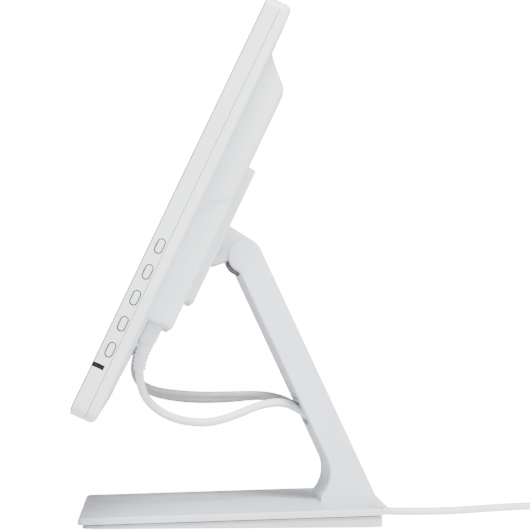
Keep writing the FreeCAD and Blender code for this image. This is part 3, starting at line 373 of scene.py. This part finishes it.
def leanPoints(across, rise, depth):
    # display drawing (across, up the screen, behind the glass) in mm, turned about the hinge to its place:
    # y is the way up times the cosine of the lean less the way out times its sine, z the other way round
    lean = math.radians(hinge["lean"])
    up, out = np.asarray(rise) - hinge["rise"], hinge["depth"] - np.asarray(depth)
    return np.stack([np.asarray(across) + 0 * up, hinge["y"] + up * math.cos(lean) - out * math.sin(lean),
                     hinge["z"] + up * math.sin(lean) + out * math.cos(lean)], -1) * mm


def leanOutline(outline, depth):
    # a flat outline of (across, rise) points at one depth
    return leanPoints(outline[:, 0], outline[:, 1], depth + 0 * outline[:, 0])


def boxPiece(low, high):
    # corners and faces of a box, for cutters and printed marks
    corners = [(x, y, z) for x in (low[0], high[0]) for y in (low[1], high[1]) for z in (low[2], high[2])]
    faces = [(0, 1, 3, 2), (4, 6, 7, 5), (0, 4, 5, 1), (2, 3, 7, 6), (0, 2, 6, 4), (1, 5, 7, 3)]
    return corners, faces


def joinedPieces(parts):
    # several point and face lists as one; each part's face numbers move up by the points before it
    points, faces = [], []
    for corners, sides in parts:
        faces += [tuple(i + len(points) for i in side) for side in sides]
        points += list(corners)
    return points, faces


def cutAway(piece, cutterPoints, cutterFaces):
    # takes the cutter's space out of the piece and leaves no modifier behind
    cutterMesh = bpy.data.meshes.new("cutter")
    cutterMesh.from_pydata([tuple(p) for p in cutterPoints], [], cutterFaces)
    cutter = bpy.data.objects.new("cutter", cutterMesh)
    bpy.context.scene.collection.objects.link(cutter)
    modifier = piece.modifiers.new("cut", "BOOLEAN")
    modifier.object = cutter
    modifier.operation = "DIFFERENCE"
    modifier.solver = "EXACT"
    bpy.context.view_layer.update()
    graph = bpy.context.evaluated_depsgraph_get()
    cutMesh = bpy.data.meshes.new_from_object(piece.evaluated_get(graph))
    piece.modifiers.clear()
    oldMesh = piece.data
    piece.data = cutMesh
    cutMesh.name = oldMesh.name
    bpy.data.meshes.remove(oldMesh)
    bpy.data.objects.remove(cutter)
    bpy.data.meshes.remove(cutterMesh)


# rear cover: a closed bowl with the deep bulge on its back, sizes in mm as on the display's drawing
case = {"half": 258.0, "height": 340.0, "corner": 9.0, "parting": 12.5, "back": 20.5, "round": 5.0,
        "crownInset": 12.0, "crownRun": 48.0, "crownRise": 2.0, "wall": 2.5, "sidePoints": 0.44}
bulge = {"back": 43.0, "bottom": 88.0, "half": 160.0, "lowFlare": 6.0, "highFlare": 14.0,
         "creaseLow": 187.5, "creaseRise": 15.0, "top": 299.0, "topRun": 20.0, "front": 18.5,
         "sideRound": 6.5, "topRound": 5.0, "bottomRound": 1.2, "bottomCorner": 4.0, "topCorner": 14.0,
         "blend": 9.0, "blendDeep": 11.0, "middle": 193.0}


def halfOutline(low, high, bottom, crease, creaseGap, top, lowCorner, highCorner):
    # right half of the outline, from the middle of the bottom edge to the middle of the top edge
    arc = np.linspace(0, math.pi / 2, 9)
    outline = [(low * share, bottom) for share in (0.0, 0.3, 0.6)]
    outline += [(low - lowCorner + lowCorner * math.sin(a), bottom + lowCorner - lowCorner * math.cos(a))
                for a in arc]
    outline += [(low, bottom + lowCorner + (crease - bottom - lowCorner) * share)
                for share in (0.3, 0.6, 0.9, 1.0)]
    outline += [(high, crease + creaseGap + (top - highCorner - crease - creaseGap) * share)
                for share in (0.0, 0.1, 0.35, 0.7)]
    outline += [(high - highCorner + highCorner * math.cos(a), top - highCorner + highCorner * math.sin(a))
                for a in arc]
    outline += [(high * share, top) for share in (0.6, 0.3, 0.0)]
    return outline


def wholeOutline(half):
    # the right half, then its mirror image back down the left
    mirrored = [(-x, y) for x, y in reversed(half[1:-1])]
    return np.array(half + mirrored)


def caseOutline(inset):
    # the case's rounded rectangle pulled in by inset, its corners smaller by as much
    corner = max(case["corner"] - inset, 1.0)
    side = case["half"] - inset
    return wholeOutline(halfOutline(side, side, inset, case["height"] * case["sidePoints"], 1.0,
                                    case["height"] - inset, corner, corner))


def quarterInset(radius, beyond):
    # how far a quarter circle has come in, beyond its start: the radius less the root of the radius squared
    # less beyond squared
    beyond = min(max(beyond, 0.0), radius)
    return radius - math.sqrt(radius * radius - beyond * beyond)


def bulgeOutline(depth, inset):
    # the bulge cut across at one depth: left is 1 at its foot and 0 at its back, the two blocks narrow with
    # it to either side of the crease, and the back's edges round off along quarter circles
    back = bulge["back"] - inset
    left = max((bulge["back"] - depth) / (bulge["back"] - bulge["front"]), 0.0)
    side = quarterInset(bulge["sideRound"], depth - (back - bulge["sideRound"])) + inset
    top = quarterInset(bulge["topRound"], depth - (back - bulge["topRound"])) + inset
    bottom = quarterInset(bulge["bottomRound"], depth - (back - bulge["bottomRound"])) + inset
    soft = 0.0
    if inset == 0:
        soft = bulge["blend"] * max(1 - (depth - case["back"]) / bulge["blendDeep"], 0.0) ** 2
    low = bulge["half"] + bulge["lowFlare"] * left - side
    high = bulge["half"] + bulge["highFlare"] * left - side + soft
    crease = bulge["creaseLow"] + bulge["creaseRise"] * (1 - left)
    return wholeOutline(halfOutline(low, max(high, low + 0.05), bulge["bottom"] + bottom, crease, 0.01,
                                    bulge["top"] + bulge["topRun"] * left - top,
                                    bulge["bottomCorner"], bulge["topCorner"]))


def crownDepth(outline):
    # the back swells by crownRise over a crownRun that starts crownInset in from the edge, as 3tt - 2ttt
    fromEnds = np.minimum(outline[:, 1], case["height"] - outline[:, 1])
    inset = np.minimum(case["half"] - np.abs(outline[:, 0]), fromEnds)
    share = np.clip((inset - case["crownInset"]) / case["crownRun"], 0, 1)
    share = share * share * (3 - 2 * share)
    return case["back"] + case["crownRise"] * share


coverRings = []
innerBack = bulge["back"] - case["wall"]
innerFloor = case["back"] - case["wall"]
# the rings run from the inside of the bulge's back, out over the parting edge, to the bulge's outer back
for depth in (innerBack, innerBack - 2, 36.0, 30.0, 24.0, innerFloor + 0.5):
    coverRings.append((bulgeOutline(depth, case["wall"]), depth))
coverRings.append((caseOutline(20.0), innerFloor + 0.2))
for inset, depth in ((7.5, innerFloor), (4.0, innerFloor - 1.5), (case["wall"], innerFloor - 4.0),
                     (case["wall"], case["parting"]), (0.12, case["parting"]),
                     (0.0, case["parting"] + 0.12)):
    coverRings.append((caseOutline(inset), depth))
for turn in np.linspace(0, math.pi / 2, 8):
    coverRings.append((caseOutline(case["round"] * (1 - math.cos(turn))),
                       case["back"] - case["round"] * (1 - math.sin(turn))))
edgeRing, bulgeFoot = caseOutline(case["crownInset"] * 0.8), bulgeOutline(case["back"], 0)
for share in (0.0, 0.15, 0.35, 0.6, 0.85):
    ring = edgeRing + (bulgeFoot - edgeRing) * share
    coverRings.append((ring, crownDepth(ring)))
footDepth = crownDepth(bulgeFoot)
straight = [0.0, 0.04, 0.09, 0.15, 0.22, 0.3, 0.4, 0.5]
bulgeDeep = bulge["back"] - case["back"]
rounded = [1 - bulge["topRound"] / bulgeDeep * (1 - math.sin(turn))
           for turn in np.linspace(0, math.pi / 2, 12)]
for share in straight + rounded:
    nominal = case["back"] + bulgeDeep * share
    coverRings.append((bulgeOutline(nominal, 0), footDepth + (bulge["back"] - footDepth) * share))
lastOutline = coverRings[-1][0]
middle = np.array([0.0, bulge["middle"]])
for share in (0.995, 0.97, 0.6):
    coverRings.append((middle + (lastOutline - middle) * share, bulge["back"]))
coverPoints = [leanOutline(outline, depth) for outline, depth in coverRings]
rearCover = loftPiece("rear_cover_moulding", coverPoints, whiteAbs, "display", smoothAngle=38)

vent = {"count": 15, "pitch": 17.0, "length": 9.0, "width": 2.4, "depths": (46.0, 24.5)}
screwHole = {"radius": 3.75, "rises": (14.0, 326.0), "places": (-215.0, 0.0, 215.0), "depths": (26.0, 16.0)}
cutters = []
for number in range(vent["count"]):
    across = (number - (vent["count"] - 1) / 2) * vent["pitch"]
    middleRise = bulge["top"] + bulge["topRun"] / 2
    # slots are stadium shaped: a box with half round ends, 8 steps each
    half = vent["width"] / 2
    straight = vent["length"] / 2 - half
    outline = []
    for turn in np.linspace(0, math.pi, 9):
        outline.append((across + half * math.cos(turn), middleRise + straight + half * math.sin(turn)))
    for turn in np.linspace(math.pi, 2 * math.pi, 9):
        outline.append((across + half * math.cos(turn), middleRise - straight + half * math.sin(turn)))
    rings = [leanOutline(np.array(outline), depth) for depth in vent["depths"]]
    cutters.append((np.concatenate(rings), loftFaces(2, len(outline))))
for rise in screwHole["rises"]:
    for across in screwHole["places"]:
        ring = circleSection(screwHole["radius"], 24) + np.array([across, rise])
        rings = [leanOutline(ring, depth) for depth in screwHole["depths"]]
        cutters.append((np.concatenate(rings), loftFaces(2, 24)))
cutAway(rearCover, *joinedPieces(cutters))
rearCover.data.set_sharp_from_angle(angle=math.radians(38))
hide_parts("rear_cover")
print("rear cover:", len(rearCover.data.polygons), "faces")


def nurbsCurve(name, points):
    # quadratic curve drawn towards its points, which it touches at both ends
    curve = bpy.data.curves.new(name, "CURVE")
    curve.dimensions = "3D"
    curve.resolution_u = 8
    spline = curve.splines.new("NURBS")
    spline.points.add(len(points) - 1)
    for target, point in zip(spline.points, points):
        target.co = (*point, 1.0)
    spline.order_u = 3
    spline.use_endpoint_u = True
    return curve


def curveLine(name, points):
    # points read along the curve, leaving out any closer than 0.8 mm to the one before
    curve = nurbsCurve(name, points)
    holder = bpy.data.objects.new(name, curve)
    bpy.context.scene.collection.objects.link(holder)
    bpy.context.view_layer.update()
    graph = bpy.context.evaluated_depsgraph_get()
    mesh = bpy.data.meshes.new_from_object(holder.evaluated_get(graph))
    line = np.array([v.co for v in mesh.vertices])
    bpy.data.objects.remove(holder)
    bpy.data.curves.remove(curve)
    bpy.data.meshes.remove(mesh)
    keep = [0]
    for i in range(1, len(line)):
        if np.linalg.norm(line[i] - line[keep[-1]]) > 0.0008:
            keep.append(i)
    return line[keep]


def lineLength(line):
    # the sum of the distances from each point to the next
    return float(np.linalg.norm(np.diff(line, axis=0), axis=1).sum())


leadRoutes = {
    "video_lead": {"diameter": 0.0072, "material": whitePvc, "slot": "white_jacket", "points": [
        (0.045, -0.0752, 0.1306), (0.045, -0.0756, 0.113), (0.045, -0.063, 0.095), (0.044, -0.042, 0.0848),
        (0.041, -0.017, 0.0822), (0.036, 0.006, 0.0885), (0.029, 0.028, 0.0978), (0.02, 0.05, 0.1002),
        (0.013, 0.068, 0.0904), (0.01, 0.081, 0.08), (0.009, 0.0907, 0.0687), (0.009, 0.0966, 0.056)]},
    "usb_lead": {"diameter": 0.0062, "material": greyPvc, "slot": "grey_jacket", "points": [
        (0.005, -0.0774, 0.1418), (0.005, -0.0814, 0.1295), (0.005, -0.0765, 0.117), (0.0046, -0.064, 0.11),
        (0.004, -0.046, 0.107), (0.003, -0.022, 0.1052), (0.002, 0.006, 0.1056), (0.001, 0.032, 0.1062),
        (0.0004, 0.052, 0.102), (0.0, 0.0675, 0.092), (0.0, 0.0805, 0.0805), (0.0, 0.0907, 0.0687),
        (0.0, 0.0966, 0.056)]},
    "power_lead": {"diameter": 0.0062, "material": greyPvc, "slot": "grey_jacket", "points": [
        (-0.022, -0.0774, 0.1418), (-0.022, -0.0814, 0.129), (-0.022, -0.077, 0.1155),
        (-0.0216, -0.065, 0.1065), (-0.021, -0.047, 0.1023), (-0.02, -0.024, 0.1002),
        (-0.018, 0.004, 0.101), (-0.0145, 0.031, 0.104), (-0.0115, 0.0515, 0.1012),
        (-0.0094, 0.0675, 0.0912), (-0.009, 0.0805, 0.08), (-0.009, 0.0907, 0.0687),
        (-0.009, 0.0966, 0.056)]},
}
# the stretch between the arm's window and the reliefs: each lead a tube along a curve through its points
leadPieces = {}
for name, lead in leadRoutes.items():
    line = curveLine(name + "_line", lead["points"])
    rings = ringsAlong(line, circleSection(lead["diameter"] / 2), (1, 0, 0))
    piece = loftPiece(name + "_jacket", rings, lead["material"], None, smoothAngle=60)
    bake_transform(piece)
    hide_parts(name)
    leadPieces[name] = (piece, line, lead["diameter"])
    print(name, "length", round(lineLength(line), 4))

mainPoints = [
    (0.0, 0.10508, 0.03788), (0.0, 0.1105, 0.0264), (0.0, 0.116, 0.0115), (0.0005, 0.127, 0.0044),
    (0.002, 0.144, 0.0035), (0.005, 0.166, 0.0034), (0.003, 0.19, 0.0034), (-0.007, 0.214, 0.0034),
    (-0.022, 0.239, 0.0034), (-0.036, 0.265, 0.0034), (-0.043, 0.29, 0.0034), (-0.0442, 0.31, 0.0034)]
coil = {"x": -0.087, "y": 0.345, "outer": 0.0433, "pitch": 0.0068, "low": 0.0034, "perTurn": 18,
        "turns": 6.62, "diameter": 0.0066, "lift": 0.0016, "liftWide": 0.3, "firstMove": 0.93,
        "moveEarlier": 0.1, "moveLong": 0.11, "startTurn": 0.12}
# the turns fill a section three wide and three high in a snake, moving one place over at a time
coilCells = [(0, 0), (1, 0), (2, 0), (2, 1), (1, 1), (0, 1), (0, 2), (1, 2)]


def coilPoint(turns):
    # a circle, of the outer radius less its cell's column times the pitch; in turn k the lead moves from
    # cell k to cell k + 1 about firstMove - moveEarlier times k of the way round
    number = int(turns)
    share = turns - number
    start = coil["firstMove"] - coil["moveEarlier"] * number
    moved = min(max((share - start) / coil["moveLong"] + 0.5, 0.0), 1.0)
    moved = moved * moved * (3 - 2 * moved)
    here, after = coilCells[number], coilCells[number + 1]
    column = here[0] + (after[0] - here[0]) * moved
    layer = here[1] + (after[1] - here[1]) * moved
    radius = coil["outer"] - column * coil["pitch"]
    angle = 2 * math.pi * turns - coil["startTurn"]
    # the turns ride up over the strap that passes under them at the -X side
    around = angle % (2 * math.pi) - math.pi
    lift = coil["lift"] * math.exp(-(around / coil["liftWide"]) ** 2)
    return (coil["x"] + radius * math.cos(angle), coil["y"] + radius * math.sin(angle),
            coil["low"] + lift + layer * coil["pitch"])


for step in range(int(coil["turns"] * coil["perTurn"]) + 1):
    mainPoints.append(coilPoint(step / coil["perTurn"]))
mainPoints += [(-0.1085, 0.3055, 0.0218), (-0.096, 0.2995, 0.0236), (-0.082, 0.2985, 0.0252),
               (-0.0685, 0.3025, 0.0256), (-0.0595, 0.311, 0.0256), (-0.058, 0.3215, 0.0255),
               (-0.058, 0.327, 0.0255)]
mainLine = curveLine("main_line", mainPoints)
mainRings = ringsAlong(mainLine, circleSection(coil["diameter"] / 2, 16), (1, 0, 0))
mainPiece = loftPiece("main_lead_jacket", mainRings, whitePvc, "stand", smoothAngle=60)
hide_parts("main_lead")
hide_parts("lead_coil")
print("main lead length", round(lineLength(mainLine), 4))


def reliefRadius(share, wide, narrow, ribs, ribHeight):
    # tapers from wide to narrow, with evenly spaced ribs that leave both ends plain
    taper = wide + (narrow - wide) * share
    if not 0.08 < share < 0.94:
        return taper + ribHeight * 0.6
    phase = math.cos(2 * math.pi * ribs * (share - 0.08) / 0.86)
    return taper + ribHeight * (0.5 + 0.5 * max(min(phase * 2.2, 1.0), -1.0))


def hermitePath(start, startWay, end, endWay, count):
    # cubic from start to end with the given end directions, each as long as the gap
    start, startWay, end, endWay = (np.array(v, float) for v in (start, startWay, end, endWay))
    reach = np.linalg.norm(end - start)
    line = []
    for t in np.linspace(0, 1, count):
        line.append((2 * t ** 3 - 3 * t ** 2 + 1) * start + (t ** 3 - 2 * t ** 2 + t) * startWay * reach
                    + (3 * t ** 2 - 2 * t ** 3) * end + (t ** 3 - t ** 2) * endWay * reach)
    return np.array(line)


def capRounded(halfWide, halfHigh, corner, edge):
    # the section pulled in along a quarter circle, for a moulded end
    return [(roundSection(halfWide - edge * (1 - math.cos(a)), halfHigh - edge * (1 - math.cos(a)),
                          max(corner - edge * (1 - math.cos(a)), 0.3)), edge * math.sin(a))
            for a in np.linspace(0, math.pi / 2, 5)]


plugs = {
    "video": {"x": 45.0, "half": (10.2, 7.2), "corner": 3.4, "bodyEnd": 69.5, "wide": 6.3,
              "narrow": 4.6, "ribs": 6, "material": whitePvc, "slot": "white_jacket"},
    "usb": {"x": 5.0, "half": (8.0, 5.5), "corner": 2.6, "bodyEnd": 71.5, "wide": 4.9,
            "narrow": 3.8, "ribs": 5, "material": greyPvc, "slot": "grey_jacket"},
    "power": {"x": -22.0, "half": (5.6, 5.6), "corner": 5.0, "bodyEnd": 71.5, "wide": 4.9,
              "narrow": 3.8, "ribs": 5, "material": greyPvc, "slot": "grey_jacket"},
}
# depth of the plugs' middle line, their top at the bulge's underside, how far a relief laps over its lead
# and how high its ribs stand, all in mm, and the number of points round it
plugPlace = {"depth": 29.5, "top": 87.9, "lap": 3.0, "ribHeight": 0.75, "around": 32}
# a plug's end tapers: how far down it, and how wide it is there against its full size
plugTaper = [(0.0, 1.0), (0.55, 1.0), (0.72, 0.99), (0.84, 0.95), (0.93, 0.87), (1.0, 0.8)]
reliefSteps = 90
reliefShares = [i / (reliefSteps - 1) for i in range(reliefSteps)]
for name, plug in plugs.items():
    halfWide, halfHigh = plug["half"]
    rings = []
    for share, scale in plugTaper:
        rise = plugPlace["top"] + (plug["bodyEnd"] - plugPlace["top"]) * share
        section = roundSection(halfWide * scale, halfHigh * scale, plug["corner"] * scale)
        rings.append(leanPoints(plug["x"] + section[:, 0], rise + 0 * section[:, 0],
                                plugPlace["depth"] + section[:, 1]))
    body = loftPiece(name + "_plug_body", rings[::-1], plug["material"], "display", smoothAngle=40)
    line = leadPieces[name + "_lead"][1]
    start = leanPoints(plug["x"], plug["bodyEnd"] + 1.0, plugPlace["depth"])
    down = leanPoints(plug["x"], plug["bodyEnd"], plugPlace["depth"]) - start
    leadWay = (line[1] - line[0]) / np.linalg.norm(line[1] - line[0])
    lapEnd = line[0] + leadWay * plugPlace["lap"] * mm
    path = hermitePath(start, down / np.linalg.norm(down), lapEnd, leadWay, reliefSteps)
    radii = [reliefRadius(share, plug["wide"], plug["narrow"], plug["ribs"], plugPlace["ribHeight"])
             for share in reliefShares]
    sections = [circleSection(mm * radius, plugPlace["around"]) for radius in radii]
    relief = loftPiece(name + "_plug_relief", ringsAlong(path, sections, (1, 0, 0)), plug["material"],
                       "display", smoothAngle=70)
    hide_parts(name + "_plug")

connector = {"x": -0.058, "z": 0.0255, "tail": 0.321, "bodyStart": 0.339, "bodyEnd": 0.375,
             "half": (10.0, 5.5), "corner": 2.4, "edge": 1.2, "wide": 5.0, "narrow": 3.9, "ribs": 5,
             "ribHeight": 0.5, "around": 28, "lap": 0.001}
rings = []
ends = capRounded(*connector["half"], connector["corner"], connector["edge"])
endStart = connector["bodyStart"] + connector["edge"] * mm
endStop = connector["bodyEnd"] - connector["edge"] * mm
stations = [(section, endStart - reach * mm) for section, reach in reversed(ends)]
stations += [(section, endStop + reach * mm) for section, reach in ends]
for section, y in stations:
    rings.append(np.stack([connector["x"] - section[:, 0] * mm, y + 0 * section[:, 0],
                           connector["z"] + section[:, 1] * mm], 1))
connectorBody = loftPiece("connector_body", rings, whitePvc, "stand", smoothAngle=40)
reliefPath = np.stack([np.full(reliefSteps, connector["x"]),
                       np.linspace(connector["tail"], connector["bodyStart"] + connector["lap"],
                                   reliefSteps),
                       np.full(reliefSteps, connector["z"])], 1)
# the connector's relief runs the other way, wide at its far end
reliefRadii = [reliefRadius(1 - share, connector["wide"], connector["narrow"], connector["ribs"],
                            connector["ribHeight"]) for share in reliefShares]
reliefSections = [circleSection(mm * radius, connector["around"]) for radius in reliefRadii]
connectorRelief = loftPiece("connector_relief", ringsAlong(reliefPath, reliefSections, (1, 0, 0)), whitePvc,
                            "stand", smoothAngle=70)
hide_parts("main_connector")

tie = {"y": 0.345, "low": 0.0008, "high": 0.0226, "inner": -0.1127, "outer": -0.1347, "corner": 4.0,
       "half": (7.0, 0.7), "edge": 0.6}
loopSection = roundSection((tie["inner"] - tie["outer"]) / 2 / mm, (tie["high"] - tie["low"]) / 2 / mm,
                           tie["corner"], 9)
loopMiddle = ((tie["inner"] + tie["outer"]) / 2, (tie["high"] + tie["low"]) / 2)
strap = roundSection(*tie["half"], tie["edge"], 4)
rings = []
for i, (across, rise) in enumerate(loopSection):
    ahead, behind = loopSection[(i + 1) % len(loopSection)], loopSection[i - 1]
    way = (ahead - behind) / np.linalg.norm(ahead - behind)
    # outward is the way round, turned a quarter
    outward = np.array([way[1], -way[0]])
    rings.append([(loopMiddle[0] + (across + outward[0] * t) * mm, tie["y"] - w * mm,
                   loopMiddle[1] + (rise + outward[1] * t) * mm) for w, t in strap])
tieLoop = loftPiece("tie_strap", rings, blackNylon, "stand", closeLoop=True, smoothAngle=50)
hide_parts("lead_tie")
print("plugs, connector and tie")

# rims and printed marks of the five side keys, in mm on the display's drawing
keyRow = {"count": 5, "pitch": 20.8, "first": 54.3, "depth": 7.9, "length": 10.2, "width": 4.6, "lip": 0.95,
          "side": 258.0, "proud": 0.03, "rubberDeep": 1.9, "keyRoom": 0.08}


def pillOutline(length, width):
    # two half circles as wide as the pill, joined by its straight sides
    radius = width / 2
    half = length / 2 - radius
    upper = [(radius * math.sin(a), half + radius * math.cos(a))
             for a in np.linspace(math.pi / 2, -math.pi / 2, 13)]
    lower = [(-x, -y) for x, y in upper]
    return np.array(upper + lower)


# the rubber fills the 0.6 mm gap round each key and its lip laps the case; at 0.95 mm it is drawn wider
# than the gap, because the gap alone is too fine to show: the black lip on the case is painted shade for
# the shaded gap round each key
gasketShadeParts = []
outerPill = pillOutline(keyRow["length"] + 2 * keyRow["lip"], keyRow["width"] + 2 * keyRow["lip"])
innerPill = pillOutline(keyRow["length"] + 2 * keyRow["keyRoom"], keyRow["width"] + 2 * keyRow["keyRoom"])
rubberTop, rubberFoot = keyRow["side"] + keyRow["proud"], keyRow["side"] - keyRow["rubberDeep"]
for number in range(keyRow["count"]):
    rise = keyRow["first"] + number * keyRow["pitch"]
    corners = []
    for outline, x in ((innerPill, rubberTop), (outerPill, rubberTop),
                       (outerPill, rubberFoot), (innerPill, rubberFoot)):
        corners.append(leanPoints(x, rise + outline[:, 1], keyRow["depth"] - outline[:, 0]))
    gasketShadeParts.append((np.concatenate(corners), loftFaces(4, len(outerPill), closeLoop=True)))
gasketShadePoints, gasketShadeFaces = joinedPieces(gasketShadeParts)
keyGasketShade = finishMesh("key_gaskets_and_painted_shade", gasketShadePoints, gasketShadeFaces, blackRubber, "display")

markParts = []
inkSunk = 0.02
# pad-printed grey ink: flat and dull against the satin case
markInk = plasticMaterial({"name": "grey_pad_print", "dark": "9FA2A7", "light": "A5A8AD",
                           "rough": (0.5, 0.6), "patchMm": 5, "grainMm": 0.2, "grainHeightMm": 0.004})


def markBar(rise, depth, along, across):
    # a printed bar on the case's side: its middle, then its size up the screen and through the depth
    corners, faces = boxPiece((keyRow["side"] - inkSunk, rise - along / 2, depth - across / 2),
                              (keyRow["side"] + keyRow["proud"], rise + along / 2, depth + across / 2))
    corners = np.array(corners)
    # the faces turn round because depth counts away from the user
    return leanPoints(corners[:, 0], corners[:, 1], corners[:, 2]), [face[::-1] for face in faces]


# each stroke is its shift up the screen, its shift sideways, and its two sizes, in mm
stroke, markSize, markDepth, edge, apart = 0.28, 2.0, 3.6, 0.86, 0.7
markShapes = [
    [(0, 0, markSize, stroke), (-edge, 0, stroke, markSize), (edge, 0, stroke, markSize)],
    [(0, 0, stroke, markSize)],
    [(0, 0, stroke, markSize), (0, 0, markSize, stroke)],
    [(-apart, 0, stroke, markSize), (0, 0, stroke, markSize), (apart, 0, stroke, markSize)],
    [(-edge, 0, stroke, markSize), (edge, 0, stroke, markSize), (0, -edge, markSize, stroke),
     (0, edge, markSize, stroke)],
]
for number, shape in enumerate(markShapes):
    rise = keyRow["first"] + number * keyRow["pitch"]
    for offset, sideways, along, across in shape:
        markParts.append(markBar(rise + offset, markDepth + sideways, along, across))
keyMarks = finishMesh("key_marks", *joinedPieces(markParts), markInk, "display")
print("key gaskets and marks")

# the camera stands to the right of the tablet, almost level
view = {"place": (1.5051, -0.0726, 0.1478), "lens": 116.55, "yaw": 4.072, "pitch": 2.715, "roll": -0.051}
yaw, pitch, roll = (math.radians(view[angle]) for angle in ("yaw", "pitch", "roll"))
forward = Vector((-math.cos(yaw) * math.cos(pitch), math.sin(yaw) * math.cos(pitch), math.sin(pitch)))
right = forward.cross(Vector((0, 0, 1))).normalized()
up = right.cross(forward)
turned = Matrix.Rotation(roll, 3, forward)
right, up = turned @ right, turned @ up
cameraData = bpy.data.cameras.new("camera")
cameraData.lens = view["lens"]
cameraData.sensor_width = 36
camera = bpy.data.objects.new("camera", cameraData)
bpy.context.scene.collection.objects.link(camera)
camera.matrix_world = Matrix(((right.x, up.x, -forward.x, view["place"][0]),
                              (right.y, up.y, -forward.y, view["place"][1]),
                              (right.z, up.z, -forward.z, view["place"][2]), (0, 0, 0, 1)))
bpy.context.scene.camera = camera

studio = {"ambient": 0.46, "backdrop": 18.0, "floorGlow": 15.0}
# matt white paper; it glows to the camera only, so that it shows evenly pale
floorMaterial, floorTree, floorShader = newMaterial("white_paper_floor")
floorShader.inputs["Base Color"].default_value = linearColour("F4F4F4")
floorShader.inputs["Roughness"].default_value = 0.9
floorPath = addNode(floorTree, "ShaderNodeLightPath")
floorGlow = addNode(floorTree, "ShaderNodeMath", {1: studio["floorGlow"]},
                    {0: floorPath.outputs["Is Camera Ray"]}, operation="MULTIPLY")
floorShader.inputs["Emission Color"].default_value = (1, 1, 1, 1)
floorTree.links.new(floorGlow.outputs[0], floorShader.inputs["Emission Strength"])
floorCorners = [(-6, -6, 0), (6, -6, 0), (6, 6, 0), (-6, 6, 0)]
floor = finishMesh("floor", floorCorners, [(0, 1, 2, 3)], floorMaterial, None)

world = bpy.data.worlds.new("studio")
bpy.context.scene.world = world
world.use_nodes = True
# what the camera sees is a brightly lit backdrop; the object is lit by the softer ambient value
worldPath = addNode(world.node_tree, "ShaderNodeLightPath")
worldValue = addNode(world.node_tree, "ShaderNodeMapRange",
                     {"To Min": studio["ambient"], "To Max": studio["backdrop"]},
                     {"Value": worldPath.outputs["Is Camera Ray"]})
background = world.node_tree.nodes["Background"]
background.inputs["Color"].default_value = (1, 1, 1, 1)
world.node_tree.links.new(worldValue.outputs["Result"], background.inputs["Strength"])


def areaLight(name, place, aim, size, power):
    # a square light of the given width, turned so that it shines from its place to the aim
    data = bpy.data.lights.new(name, "AREA")
    data.energy = power
    data.size = size
    light = bpy.data.objects.new(name, data)
    bpy.context.scene.collection.objects.link(light)
    light.location = place
    light.rotation_euler = (Vector(aim) - Vector(place)).to_track_quat("-Z", "Y").to_euler()


lightAim = (0, 0, 0.22)
softboxes = {
    "right_top_softbox": {"place": (1.7, 0.5, 2.1), "power": 172, "size": 0.8},
    "front_softbox": {"place": (1.8, -1.6, 1.6), "power": 14, "size": 1.3},
    "back_softbox": {"place": (1.2, 2.2, 0.9), "power": 34, "size": 1.0},
    "low_bounce": {"place": (0.75, 1.0, 0.06), "power": 7, "size": 0.6},
}
for name, softbox in softboxes.items():
    areaLight(name, softbox["place"], lightAim, softbox["size"], softbox["power"])
print("camera, floor and lights")
